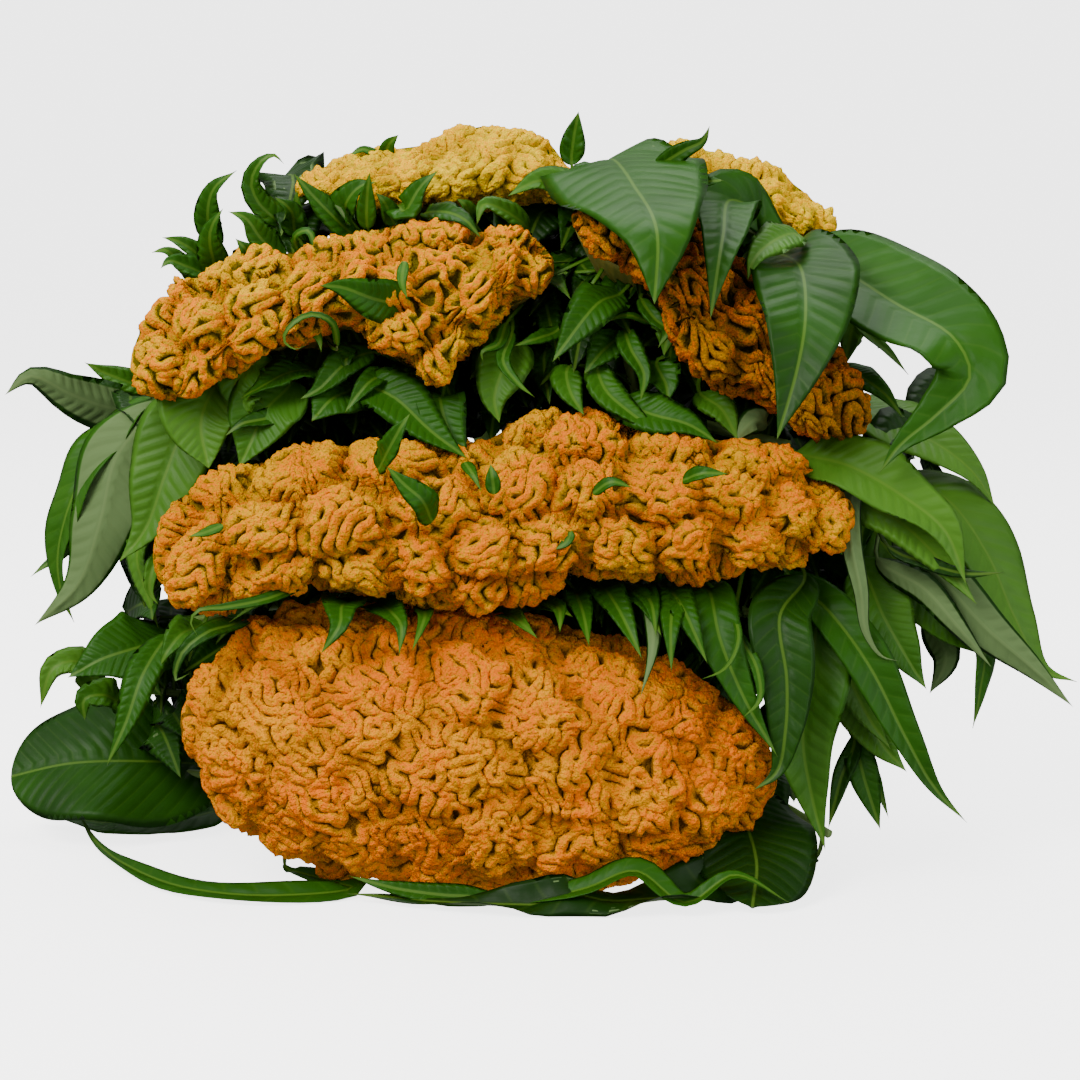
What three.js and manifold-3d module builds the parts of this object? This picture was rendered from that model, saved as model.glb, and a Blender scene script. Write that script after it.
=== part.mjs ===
// A bunch of cut cockscomb celosia lying on a surface: six heads, each on its own leafy stem,
// tied behind with twine. Millimetres, +Z up. The heads face -Y, the cut stem ends point to +Y,
// and the bunch rests on the flattened underside of the lowest head and on its stem ends.
import * as THREE from 'three';
import Module from 'manifold-3d';

const wasm = await Module();
wasm.setup();

// Driving dimensions
const BLADE = 0.9;            // thickness of a leaf blade
const STALK = 2.6;            // width and thickness of a leaf stalk
const CLEAR = 0.35;           // gap kept between pieces that touch
const FLOOR = 0.3;            // lowest height of a leaf that lies on the surface
const MEDIUM = 28;             // leaves wider than this have one more section
const SMALL = 45;              // leaves narrower than this have a slim diamond section
const FOLD_PITCH = 30;        // distance between the large folds of a head
const FOLD_DEPTH = 7;         // depth of the valleys between those folds
const STEM = 7;               // radius of a main stem
const SHOOT = 3.6;            // radius of a side shoot
const RING = 14.5;            // distance of the outer stems from the middle one in the tie
const TIE = [-4, 398, 37];    // middle of the bundle inside the tie
const ENDS = [-2, 486, 18.3]; // middle of the bundle at the cut ends
const TIE_WIDTH = 16;         // length of the twine winding along the stems
const TWINE = 3.2;            // thickness of one turn of twine
const CENTRE = [-12, 213];       // x and y of the point under the middle of the bunch, which is the origin

const GREEN = { colour: 0x3c7a24, roughness: 0.55 };
const STRAW = { colour: 0xb89a5e, roughness: 0.9 };

// Directions that the upper side of a leaf faces
const FRONT = [0, -1, 0.1];
const FRONT_UP = [0, -0.8, 0.6];
const UP_FRONT = [0, -0.65, 0.75];
const UP = [0, -0.35, 0.95];
const LEFT_UP = [-0.6, -0.7, 0.4];
const RIGHT_UP = [0.6, -0.7, 0.4];
const RIGHT_TOP = [0.35, -0.6, 0.7];
const AWAY = [0.1, 0.9, -0.1];

// Each head: outline stations [x, lowest z, highest z] seen from the front, the depth of its
// folded face before and behind the middle plane y, how far it leans back for each millimetre
// of height, and the point where its fan narrows to the stem.
const HEADS = {
  low: {
    y: 15, front: 60, rear: 40, lean: 0.1, neck: [-30, 165, 74], colour: 0xe8860f, steps: [28, 20],
    outline: [[-205, 90, 92], [-191, 58, 124], [-165, 30, 146], [-125, 8, 157], [-79, -3, 158],
      [-28, -8, 156], [23, -6, 143], [68, 3, 128], [103, 22, 109], [124, 38, 89], [136, 58, 62]],
  },
  middle: {
    y: 20, front: 50, rear: 34, lean: 0.42, neck: [-20, 160, 176], colour: 0xefa02a, steps: [38, 14],
    outline: [[-219, 188, 192], [-205, 158, 221], [-171, 161, 237], [-115, 170, 250], [-79, 164, 251],
      [-40, 159, 250], [-14, 161, 262], [28, 178, 268], [62, 175, 259], [118, 181, 251],
      [146, 186, 243], [166, 193, 228], [178, 207, 213]],
  },
  left: {
    y: 70, front: 44, rear: 34, lean: 0.55, neck: [-108, 190, 268], colour: 0xe98f1c, steps: [26, 13],
    outline: [[-236, 295, 298], [-225, 273, 323], [-208, 266, 340], [-175, 288, 354], [-138, 303, 358],
      [-112, 312, 366], [-75, 287, 375], [-60, 281, 375], [-35, 305, 369], [-11, 326, 370],
      [8, 344, 350]],
  },
  right: {
    y: 62, front: 42, rear: 32, lean: 0.5, neck: [92, 185, 268], colour: 0xcf7410, steps: [20, 13],
    outline: [[18, 374, 377], [36, 352, 386], [63, 336, 384], [86, 288, 378], [103, 276, 367],
      [120, 274, 352], [138, 259, 336], [155, 247, 315], [173, 245, 300], [190, 264, 268]],
  },
  topLeft: {
    y: 152, front: 34, rear: 26, lean: 0.45, neck: [-55, 250, 340], colour: 0xf0b040, steps: [18, 9],
    outline: [[-148, 388, 391], [-132, 380, 403], [-100, 377, 413], [-66, 377, 418], [-33, 379, 429],
      [3, 379, 420], [18, 388, 402], [26, 394, 396]],
  },
  topRight: {
    y: 160, front: 34, rear: 26, lean: 0.45, neck: [108, 255, 325], colour: 0xf2bc4c, steps: [14, 9],
    outline: [[60, 399, 402], [69, 386, 414], [90, 370, 419], [105, 365, 413], [141, 360, 403],
      [160, 357, 390], [174, 360, 376], [181, 366, 369]],
  },
};

// Each leafy stem: its place round the bundle in degrees (null is the middle), the side shoots
// that carry its leaves, the directions in which its hidden leaves grow, and the leaves that
// show: [side it faces, width, points from the base of the blade to its tip, and how it waves].
const STEMS = {
  low: {
    place: 234, seed: 11, hidden: 7, spread: [-10, 190],
    shoots: [
      [[-29, 192, 72], [-110, 152, 50], [-190, 118, 34], [-222, 120, 34]],
      [[-110, 152, 50], [-180, 140, 72], [-246, 118, 88]],
      [[-26, 196, 68], [70, 150, 40], [140, 104, 22], [172, 62, 12]],
    ],
    leaves: [
      [FRONT_UP, 20, [[-268, 125, 84], [-281, 112, 106], [-295, 106, 103], [-303, 104, 79]]],
      [FRONT_UP, 21, [[-253, 110, 81], [-264, 96, 89], [-274, 92, 87], [-274, 92, 74]]],
      [UP_FRONT, 62, [[-218, 150, 32], [-258, 120, 33], [-294, 112, 38], [-330, 120, 39]]],
      [FRONT_UP, 26, [[-193, 140, 32], [-233, 112, 29], [-262, 104, 25], [-293, 104, 21],
        [-314, 110, 17]]],
      [UP, 36, [[-189, 150, 9], [-223, 124, 3], [-265, 116, 3], [-315, 130, 10]]],
      [UP, 18, [[-149, 30, 3], [-106, -16, 3], [-156, -30, 3], [-202, -14, 3], [-243, 32, 3],
        [-269, 78, 5], [-284, 108, 17]]],
      [UP, 32, [[162, 42, 3], [129, 6, 4], [90, -30, 4], [53, -44, 5], [11, -50, 4], [-45, -46, 4],
        [-108, -30, 4]], { wave: 0.5, waves: 3 }],
      [FRONT_UP, 15, [[-22, -38, 3], [-64, -38, 7], [-85, -36, 10], [-107, -32, 15]], { loose: true }],
      [FRONT_UP, 63, [[100, 64, 3], [114, 32, 3], [139, 20, 10], [159, 14, 8]]],
    ],
  },
  middle: {
    place: null, seed: 23, hidden: 5, spread: [20, 160],
    shoots: [
      [[-20, 186, 172], [-100, 130, 148], [-170, 98, 142], [-214, 62, 138]],
      [[-19, 188, 170], [60, 124, 146], [130, 92, 140], [168, 58, 148]],
    ],
    leaves: [
      [FRONT_UP, 37, [[182, 46, 180], [197, 26, 150], [209, 20, 129], [221, 18, 110]]],
      [FRONT_UP, 28, [[142, 46, 174], [165, 16, 155], [186, 0, 127], [205, -8, 90], [223, -10, 59],
        [241, -12, 40]]],
      [FRONT_UP, 37, [[176, 36, 135], [184, 20, 104], [195, 15, 80], [210, 12, 63]]],
      [FRONT_UP, 28, [[161, 32, 154], [177, 16, 116], [188, 12, 94], [200, 10, 77]]],
      [FRONT_UP, 35, [[151, 26, 175], [134, -6, 157], [137, -22, 125], [136, -30, 98],
        [131, -34, 75], [118, -36, 65]]],
      [FRONT_UP, 44, [[159, 32, 164], [154, 5, 126], [148, -8, 88], [153, -12, 56], [161, -16, 25]]],
      [FRONT_UP, 18, [[180, 24, 80], [186, 12, 58], [195, 8, 30]]],
      [FRONT_UP, 26, [[93, 36, 170], [96, 2, 168], [100, -18, 147], [113, -32, 116], [131, -38, 85]]],
      [FRONT_UP, 16, [[55, 36, 168], [58, 2, 170], [62, -14, 166], [64, -30, 151]]],
      [FRONT_UP, 21, [[68, 36, 169], [74, 2, 170], [80, -16, 163], [92, -36, 137]]],
      [FRONT_UP, 18, [[76, 36, 170], [75, 2, 170], [72, -28, 154], [72, -40, 133]]],
      [FRONT_UP, 15, [[-7, 36, 156], [5, 4, 162], [18, -24, 161]]],
      [FRONT_UP, 16, [[19, 36, 166], [21, 2, 167], [24, -14, 161], [27, -38, 147]]],
      [FRONT_UP, 19, [[33, 36, 170], [38, 2, 170], [45, -16, 161], [56, -38, 140]]],
      [FRONT_UP, 16, [[46, 36, 169], [52, 2, 169], [58, -8, 167], [67, -30, 151]]],
      [FRONT_UP, 28, [[-109, 36, 161], [-109, 2, 164], [-110, -20, 165], [-110, -34, 158],
        [-120, -38, 143]]],
      [FRONT_UP, 21, [[-95, 36, 160], [-88, 2, 162], [-82, -18, 162], [-76, -34, 157], [-77, -42, 143]]],
      [FRONT_UP, 13, [[-169, 30, 152], [-172, 0, 152], [-185, -26, 152], [-197, -30, 142],
        [-201, -32, 127], [-193, -34, 131]]],
      [FRONT_UP, 48, [[-218, 74, 130], [-234, 50, 128], [-254, 40, 123], [-273, 36, 113]]],
      [FRONT_UP, 21, [[-216, 50, 135], [-228, 24, 117], [-236, 14, 93], [-247, 8, 68]]],
      [FRONT_UP, 21, [[-195, 48, 143], [-205, 26, 141], [-212, 18, 133], [-216, 16, 125]]],
    ],
  },
  left: {
    place: 162, seed: 37, hidden: 7, spread: [95, 205],
    shoots: [
      [[-108, 214, 262], [-165, 165, 250], [-215, 138, 246], [-232, 112, 236]],
      [[-107, 216, 260], [-62, 150, 262], [-20, 96, 280]],
      [[-165, 165, 250], [-150, 120, 268], [-118, 78, 276]],
      [[-62, 150, 262], [-70, 110, 266], [-72, 76, 270]],
    ],
    leaves: [
      [AWAY, 31, [[-234, 160, 259], [-259, 142, 260], [-283, 130, 271], [-306, 122, 283],
        [-321, 118, 270]]],
      [FRONT_UP, 18, [[-239, 160, 265], [-254, 152, 273], [-265, 148, 278], [-277, 144, 285]]],
      [LEFT_UP, 28, [[-236, 130, 264], [-265, 108, 244], [-282, 96, 214], [-292, 92, 178],
        [-290, 90, 157], [-280, 88, 135]]],
      [AWAY, 39, [[-225, 120, 260], [-250, 92, 235], [-259, 80, 198], [-273, 76, 160], [-299, 74, 136]]],
      [FRONT_UP, 42, [[-189, 105, 270], [-206, 82, 257], [-219, 70, 226], [-230, 64, 196],
        [-246, 62, 176]]],
      [FRONT_UP, 44, [[-169, 92, 282], [-190, 66, 278], [-198, 54, 258], [-188, 46, 237]]],
      [FRONT_UP, 29, [[-143, 64, 282], [-158, 50, 266], [-165, 44, 250], [-172, 40, 235]]],
      [FRONT_UP, 31, [[-151, 78, 291], [-167, 62, 292], [-175, 54, 281], [-174, 50, 265]]],
      [UP, 23, [[-128, 70, 287], [-144, 56, 288], [-157, 48, 282], [-171, 46, 274]]],
      [FRONT_UP, 25, [[-106, 64, 280], [-120, 44, 273], [-130, 37, 262]]],
      [FRONT_UP, 21, [[-97, 70, 298], [-112, 52, 293], [-127, 44, 279], [-137, 42, 274]]],
      [FRONT_UP, 32, [[-102, 56, 282], [-82, 38, 275], [-62, 27, 258], [-41, 20, 243]]],
      [FRONT_UP, 28, [[-56, 60, 274], [-57, 42, 274], [-52, 32, 258], [-40, 24, 238]]],
      [FRONT_UP, 32, [[-16, 66, 304], [-22, 48, 289], [-26, 40, 274], [-23, 36, 261]]],
      [LEFT_UP, 16, [[-229, 84, 201], [-238, 78, 177], [-231, 72, 154], [-225, 70, 135]]],
    ],
  },
  right: {
    place: 306, seed: 53, hidden: 7, spread: [-25, 85],
    shoots: [
      [[92, 208, 262], [150, 158, 240], [200, 118, 232], [208, 60, 208]],
      [[150, 158, 240], [184, 110, 236], [190, 62, 222]],
      [[91, 210, 260], [70, 140, 256], [60, 104, 262], [50, 78, 296]],
      [[70, 140, 256], [112, 86, 250], [146, 72, 244]],
    ],
    leaves: [
      [FRONT_UP, 29, [[47, 76, 332], [33, 52, 328], [18, 40, 311], [7, 34, 296]]],
      [FRONT_UP, 22, [[48, 66, 307], [35, 50, 300], [25, 44, 288]]],
      [FRONT_UP, 19, [[17, 60, 291], [17, 42, 279], [25, 32, 266]]],
      [FRONT_UP, 19, [[33, 56, 294], [37, 40, 280], [51, 30, 268], [69, 24, 256]]],
      [FRONT_UP, 28, [[45, 50, 273], [63, 30, 267], [84, 22, 262], [100, 18, 252]]],
      [AWAY, 17, [[131, 56, 258], [122, 42, 262], [109, 38, 249]]],
      [FRONT_UP, 20, [[92, 60, 276], [104, 44, 268], [113, 38, 251]]],
      [RIGHT_TOP, 50, [[181, 118, 266], [209, 98, 254], [238, 86, 240], [256, 80, 225], [268, 78, 206]]],
      [FRONT_UP, 20, [[174, 104, 286], [188, 68, 283], [199, 58, 275], [209, 54, 262]]],
      [FRONT_UP, 39, [[148, 60, 241], [176, 32, 237], [206, 18, 221], [228, 10, 203], [240, 6, 173]]],
      [FRONT_UP, 28, [[175, 42, 217], [203, 24, 207], [226, 14, 186], [247, 10, 161]]],
      [RIGHT_TOP, 49, [[209, 98, 225], [243, 72, 217], [267, 56, 187], [280, 46, 150],
        [295, 40, 118], [311, 38, 111]]],
      [AWAY, 28, [[205, 46, 197], [231, 26, 171], [254, 20, 146], [282, 18, 122], [305, 16, 100]]],
      [AWAY, 17, [[194, 40, 183], [219, 22, 168], [236, 15, 149], [257, 12, 124]]],
      [RIGHT_UP, 17, [[238, 46, 148], [255, 31, 132], [253, 26, 108], [249, 24, 86]]],
      [FRONT_UP, 38, [[194, 70, 200], [213, 48, 171], [234, 40, 143], [258, 36, 125]]],
      [AWAY, 19, [[228, 66, 144], [237, 52, 121], [227, 46, 101]]],
      [AWAY, 12, [[186, 52, 232], [176, 24, 216], [175, 6, 196], [180, 0, 171], [183, -2, 148],
        [192, -2, 134], [202, -2, 131]]],
    ],
  },
  topLeft: {
    place: 90, seed: 71, hidden: 6, spread: [80, 200],
    shoots: [
      [[-56, 274, 334], [-130, 215, 330], [-190, 170, 322], [-212, 150, 326]],
      [[-56, 276, 332], [-60, 190, 334], [-92, 136, 350], [-150, 122, 344]],
      [[-60, 190, 334], [-30, 150, 350], [-24, 126, 360]],
    ],
    leaves: [
      [FRONT_UP, 16, [[-196, 150, 354], [-200, 142, 370], [-196, 136, 389], [-181, 132, 401]]],
      [FRONT_UP, 18, [[-187, 118, 338], [-193, 104, 352], [-193, 98, 367], [-185, 95, 380]]],
      [FRONT_UP, 26, [[-150, 150, 358], [-161, 136, 379], [-173, 130, 389], [-175, 128, 400],
        [-167, 126, 411], [-159, 126, 414], [-154, 126, 408]]],
      [FRONT_UP, 15, [[-145, 122, 363], [-147, 112, 378], [-156, 108, 386]]],
      [FRONT_UP, 19, [[-150, 112, 351], [-163, 102, 361], [-172, 97, 374], [-182, 97, 378]]],
      [FRONT_UP, 19, [[-107, 122, 358], [-118, 108, 371], [-132, 102, 386], [-144, 100, 400]]],
      [FRONT_UP, 20, [[-112, 116, 372], [-114, 104, 382], [-106, 100, 392], [-96, 99, 395]]],
      [FRONT_UP, 19, [[-85, 116, 380], [-78, 94, 379], [-70, 91, 392], [-59, 90, 402]]],
      [FRONT_UP, 15, [[-7, 116, 366], [-22, 104, 379], [-33, 98, 382], [-37, 95, 370]]],
      [FRONT_UP, 14, [[-205, 140, 334], [-215, 128, 347], [-223, 122, 354], [-231, 120, 353]]],
      [FRONT_UP, 16, [[-201, 130, 339], [-211, 120, 345], [-220, 116, 348], [-225, 114, 344]]],
    ],
  },
  topRight: {
    place: 18, seed: 89, hidden: 6, spread: [-20, 100],
    shoots: [
      [[107, 280, 318], [62, 225, 340], [34, 195, 385]],
      [[108, 282, 316], [130, 210, 322], [160, 150, 330], [168, 126, 338]],
      [[62, 225, 340], [24, 180, 365], [26, 134, 378]],
    ],
    leaves: [
      [FRONT_UP, 93, [[37, 170, 403], [43, 140, 415], [58, 78, 397], [67, 18, 371], [64, -2, 339]]],
      [FRONT, 15, [[19, 140, 404], [20, 138, 419], [23, 136, 436]]],
      [FRONT_UP, 38, [[128, 122, 357], [126, 100, 378], [111, 88, 385], [103, 38, 367],
        [98, 14, 346], [94, 2, 323]]],
      [FRONT_UP, 24, [[151, 90, 365], [132, 60, 362], [121, 45, 353], [117, 38, 342]]],
      [FRONT_UP, 56, [[139, 110, 369], [152, 62, 363], [148, 18, 334], [142, -2, 306], [129, -16, 266]]],
      [FRONT_UP, 62, [[155, 130, 360], [175, 92, 358], [201, 50, 341], [222, 25, 320],
        [219, 20, 283], [193, 16, 242]], { fold: 16 }],
      [FRONT_UP, 36, [[172, 138, 350], [182, 108, 345], [192, 99, 330], [199, 92, 313]]],
      [FRONT_UP, 19, [[190, 105, 329], [183, 92, 309], [179, 88, 288]]],
      [FRONT_UP, 26, [[37, 120, 375], [19, 104, 390], [0, 98, 396], [-19, 94, 387]]],
    ],
  },
};

// Seeded draws, the same on every run
function draws(seed) {
  let state = seed >>> 0;
  return () => {
    state = (Math.imul(state, 1664525) + 1013904223) >>> 0;
    return state / 4294967296;
  };
}

const add = (a, b, k = 1) => [a[0] + b[0] * k, a[1] + b[1] * k, a[2] + b[2] * k];
const dot = (a, b) => a[0] * b[0] + a[1] * b[1] + a[2] * b[2];
const cross = (a, b) => [a[1] * b[2] - a[2] * b[1], a[2] * b[0] - a[0] * b[2], a[0] * b[1] - a[1] * b[0]];
const unit = (a) => add([0, 0, 0], a, 1 / (Math.hypot(...a) || 1));
const mix = (a, b, t) => a.map((v, i) => v + (b[i] - v) * t);

// A closed surface through rings with the same number of points, its ends closed by strips, or
// drawn to a point where a tip is given. The second half of each ring is split along the same
// diagonals as the first half.
function loft(rings, tip = null) {
  const n = rings[0].length;
  const points = tip ? [...rings.flat(), tip] : rings.flat();
  const faces = [];
  const quad = (a, b, c, d) => faces.push([a, b, c], [a, c, d]);
  for (let i = 0; i + 1 < rings.length; i += 1) {
    for (let j = 0; j < n; j += 1) {
      const a = i * n + j;
      const b = i * n + (j + 1) % n;
      if (j < n / 2) quad(a, a + n, b + n, b);
      else quad(a + n, b + n, b, a);
    }
  }
  const last = (rings.length - 1) * n;
  for (let j = 0; j < Math.floor(n / 2); j += 1) {
    const k = n - 1 - j;
    if (k - 1 > j + 1) quad(j, j + 1, k - 1, k);
    else if (k - 1 === j + 1) faces.push([j, j + 1, k]);
    if (!tip && k - 1 > j + 1) quad(last + k, last + k - 1, last + j + 1, last + j);
    else if (!tip && k - 1 === j + 1) faces.push([last + k, last + j + 1, last + j]);
  }
  for (let j = 0; tip && j < n; j += 1) faces.push([last + j, points.length - 1, last + (j + 1) % n]);
  return closed(points, faces);
}

// A solid from points and faces, turned so that its faces point out
function closed(points, faces) {
  let volume = 0;
  for (const [a, b, c] of faces) volume += dot(points[a], cross(points[b], points[c]));
  const order = volume < 0 ? [0, 2, 1] : [0, 1, 2];
  const mesh = new wasm.Mesh({
    numProp: 3,
    vertProperties: new Float32Array(points.flat()),
    triVerts: new Uint32Array(faces.flatMap((f) => order.map((k) => f[k]))),
  });
  return new wasm.Manifold(mesh);
}

// A smooth curve through hand-placed points, sampled evenly along its length
function curve(points) {
  const spline = new THREE.CatmullRomCurve3(points.map((p) => new THREE.Vector3(...p)), false, 'centripetal');
  spline.arcLengthDivisions = 60 * points.length;
  const length = spline.getLength();
  return {
    length,
    at: (s) => spline.getPointAt(THREE.MathUtils.clamp(s, 0, 1)).toArray(),
    along: (s) => spline.getTangentAt(THREE.MathUtils.clamp(s, 0, 1)).toArray(),
    knot: (k) => {
      const lengths = spline.getLengths();
      return lengths[Math.round((k / (points.length - 1)) * (lengths.length - 1))] / length;
    },
  };
}

// Smooth values between stations without overshoot (monotone cubic)
function between(x, xs, ys) {
  const n = xs.length;
  const slope = (i) => (ys[i + 1] - ys[i]) / (xs[i + 1] - xs[i]);
  const tangent = (i) => {
    if (i === 0) return slope(0);
    if (i === n - 1) return slope(n - 2);
    const a = slope(i - 1);
    const b = slope(i);
    return a * b > 0 ? (2 * a * b) / (a + b) : 0;
  };
  let i = 0;
  while (i < n - 2 && x > xs[i + 1]) i += 1;
  const h = xs[i + 1] - xs[i];
  const t = (x - xs[i]) / h;
  return (1 + 2 * t) * (1 - t) ** 2 * ys[i] + t * (1 - t) ** 2 * h * tangent(i)
    + t * t * (3 - 2 * t) * ys[i + 1] + t * t * (t - 1) * h * tangent(i + 1);
}

// The folds of a head as a field in space: waves of one length in all directions, summed and
// sharpened, so that the field is near 1 on a fold and near 0 in a valley
const foldDraw = draws(41);
const foldWaves = Array.from({ length: 11 }, () => {
  const z = 2 * foldDraw() - 1;
  const turn = 2 * Math.PI * foldDraw();
  const flat = Math.sqrt(1 - z * z);
  return [flat * Math.cos(turn), flat * Math.sin(turn), z, 2 * Math.PI * foldDraw()];
});
function fold(p) {
  const k = (2 * Math.PI) / FOLD_PITCH;
  let sum = 0;
  for (const [x, y, z, phase] of foldWaves) sum += Math.cos(k * (x * p[0] + y * p[1] + z * p[2]) + phase);
  return 0.5 + 0.5 * Math.tanh(sum * 0.6);
}

// Where the stations of a head stand from its left end to its right, closer at the ends, and
// the middle height, half height and depth there
const ROLL = 115 * (Math.PI / 180);
function headStations(head, across) {
  const xs = head.outline.map((s) => s[0]);
  const mids = head.outline.map((s) => (s[1] + s[2]) / 2);
  const squares = head.outline.map((s) => ((s[2] - s[1]) / 2) ** 2);
  const centre = (xs[0] + xs[xs.length - 1]) / 2;
  const half = (xs[xs.length - 1] - xs[0]) / 2;
  return Array.from({ length: across + 1 }, (_, i) => {
    const u = (2 * i) / across - 1;
    const eased = Math.sin((Math.PI / 2) * (0.35 * u + 0.65 * u ** 3)) * 0.5 + 0.5 * u;
    const side = Math.max(-1, Math.min(1, eased));
    const x = centre + half * side;
    return {
      x,
      side,
      mid: between(x, xs, mids),
      tall: Math.sqrt(Math.max(between(x, xs, squares), 2.25)),
      deep: 0.03 + 0.97 * Math.sqrt(Math.max(1 - Math.abs(side) ** 3.2, 0)),
      close: NECK / half,
    };
  });
}

// A point of a head at a station, turned round its long axis: 0 faces front, ROLL is the rim
function headPoint(head, station, turn) {
  const reach = Math.cos(turn) > 0 ? head.front : head.rear;
  const rise = station.tall * Math.sin(turn);
  return [station.x, head.y - station.deep * reach * Math.cos(turn) + head.lean * rise, station.mid + rise];
}

// The folded crest: rings from rim to rim round the front. grow moves the surface outwards.
function crestSolid(head, across, round, grow, folded) {
  const rings = headStations(head, across).map((station) => (
    Array.from({ length: round + 1 }, (_, j) => headPoint(head, station, -ROLL + (2 * ROLL * j) / round))));
  return loft(rings.map((ring, i) => ring.map((p, j) => {
    const depth = folded ? FOLD_DEPTH * (1 - fold(p)) * faceShare(j, round, i, across) : 0;
    const q = add(p, outward(rings, i, j), grow - depth);
    const back = j === 0 || j === round ? 1.5 * grow : 0;
    return grow > 0 ? add(q, [0, back, 0]) : [q[0], q[1], Math.max(q[2], 0)];
  })));
}

// The fan behind a crest: the flattened stem that narrows from the rim to a round neck
const NECK = 7;
const FAN_STEPS = 2;
const SEAT = 1.2;
function fanRings(head, across, grow) {
  return headStations(head, across).map((station) => {
    const flank = (turn) => Array.from({ length: FAN_STEPS + 1 }, (_, j) => {
      const q = j / FAN_STEPS;
      const rim = headPoint(head, station, turn);
      const side = Math.sign(turn);
      const half = Math.max((rim[2] - station.mid) * side - 0.5, 1);
      const thick = NECK + (half - NECK) * (1 - q) ** 1.5 + 1.4 * grow;
      const closeX = head.neck[0] + (rim[0] - head.neck[0]) * station.close;
      return [rim[0] + (closeX - rim[0]) * q ** 1.15 + 3 * grow * station.side,
        rim[1] + (head.neck[1] - rim[1]) * q + SEAT - (j === 0 ? 2 * grow : -grow),
        Math.max(station.mid + (head.neck[2] - station.mid) * q + side * thick, 0)];
    });
    return [...flank(-ROLL), ...flank(ROLL).reverse()];
  });
}

// Folds are deepest on the face and fade at the rim and at the two ends
function faceShare(j, round, i, across) {
  const edge = Math.min(j, round - j) / (0.14 * round);
  const end = Math.min(i, across - i) / (0.1 * across);
  return Math.min(edge, 1) * Math.min(end, 1);
}

// Unit normal of a grid of open rings, pointing away from the inside
function outward(rings, i, j) {
  const a = rings[Math.max(i - 1, 0)][j];
  const b = rings[Math.min(i + 1, rings.length - 1)][j];
  const c = rings[i][Math.max(j - 1, 0)];
  const d = rings[i][Math.min(j + 1, rings[0].length - 1)];
  return unit(cross(add(b, a, -1), add(d, c, -1)));
}

// A round tube along hand-placed points, its radius going from start to end; flat below z = 0
function tube(points, start, end, sides, steps) {
  const path = curve(points);
  let across = unit(cross(path.along(0), [0.02, 0.05, 1]));
  const rings = [];
  for (let i = 0; i <= steps; i += 1) {
    const s = i / steps;
    const along = path.along(s);
    across = unit(add(across, along, -dot(across, along)));
    const up = cross(across, along);
    const r = start + (end - start) * s;
    rings.push(Array.from({ length: sides }, (_, j) => {
      const turn = (2 * Math.PI * (j + 0.5)) / sides;
      const p = add(add(path.at(s), across, r * Math.cos(turn)), up, r * Math.sin(turn));
      return [p[0], p[1], Math.max(p[2], 0)];
    }));
  }
  return loft(rings);
}

// A leaf from its root on the shoot, through the stalk, to the tip of the blade. The blade is
// widest a third of the way along, drawn out to a point, folded a little along its midrib and
// waved at its edges. Broad leaves have flat faces with edges, small ones a slim diamond section.
const WIDEST = 0.62;
const POINTED = 1.25;
const STATIONS = [[0.03, 0.32, 0.66], [0.03, 0.25, 0.52, 0.78], [0.02, 0.15, 0.36, 0.6, 0.82]];
function leafSolid(root, [facing, width, points, how = {}], grow = 0) {
  const path = curve(root ? [root, ...points] : points);
  const base = root ? path.knot(1) : 0;
  const small = width < SMALL;
  const stations = STATIONS[small ? Number(width > MEDIUM) : 2];
  const peak = WIDEST / (WIDEST + POINTED);
  const slope = Math.tan(((how.fold ?? 12) * Math.PI) / 180);
  const section = (s, half, left, right) => {
    const along = path.along(s);
    const up = unit(add(facing, along, -dot(facing, along)));
    const side = cross(along, up);
    const at = (v, n) => add(add(path.at(s), side, v * half), up, n);
    const rib = (small ? 1 : BLADE / 2) + grow;
    const edge = (small ? 0 : BLADE / 2) + grow;
    const ring = edge === 0
      ? [at(-1, left), at(0, rib), at(1, right), at(0, -rib)]
      : [at(-1, left + edge), at(0, rib), at(1, right + edge),
        at(1, right - edge), at(0, -rib), at(-1, left - edge)];
    const sink = FLOOR - Math.min(...ring.map((p) => p[2]));
    return sink > 0 ? ring.map((p) => add(p, [0, 0, sink])) : ring;
  };
  const rings = stations.map((v) => {
    const half = (width / 2) * (v / peak) ** WIDEST * ((1 - v) / (1 - peak)) ** POINTED + 0.5;
    const turn = 2 * Math.PI * (how.waves ?? 3) * v;
    const lift = (phase) => half * (slope + (how.wave ?? 0.08) * Math.sin(turn + phase));
    return section(base + (1 - base) * v, half + grow, lift(0), lift(1.7));
  });
  if (root) rings.unshift(section(0, STALK / 2 + grow, 0, 0));
  const tip = path.at(1);
  return loft(rings, [tip[0], tip[1], Math.max(tip[2], FLOOR + 0.5)]);
}

// A leaf bends away from what is already in place: it is shifted along the way it faces, most
// at its tip, by the first of these bends that crosses nothing.
const BENDS = [0, 4, -4, 8, -8, 12, -12, 17, -17];
function bentClear(root, [facing, width, points, how], around) {
  let best = { crossed: Infinity };
  for (const bend of BENDS) {
    const shifted = points.map((p, i) => add(p, facing, bend * (0.4 + (0.6 * i) / (points.length - 1))));
    const leaf = [facing, width, shifted, how];
    const solid = leafSolid(root, leaf);
    const crossed = around.reduce((sum, other) => sum + shared(solid, other), 0);
    if (crossed < best.crossed - 0.5) best = { root, leaf, solid, crossed };
    if (crossed < 0.5) return best;
  }
  return best;
}

// The volume that two solids share, zero at once where their boxes lie apart
function shared(a, b) {
  const [p, q] = [a.boundingBox(), b.boundingBox()];
  if ([0, 1, 2].some((k) => p.min[k] > q.max[k] || q.min[k] > p.max[k])) return 0;
  return a.intersect(b).volume();
}

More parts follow.
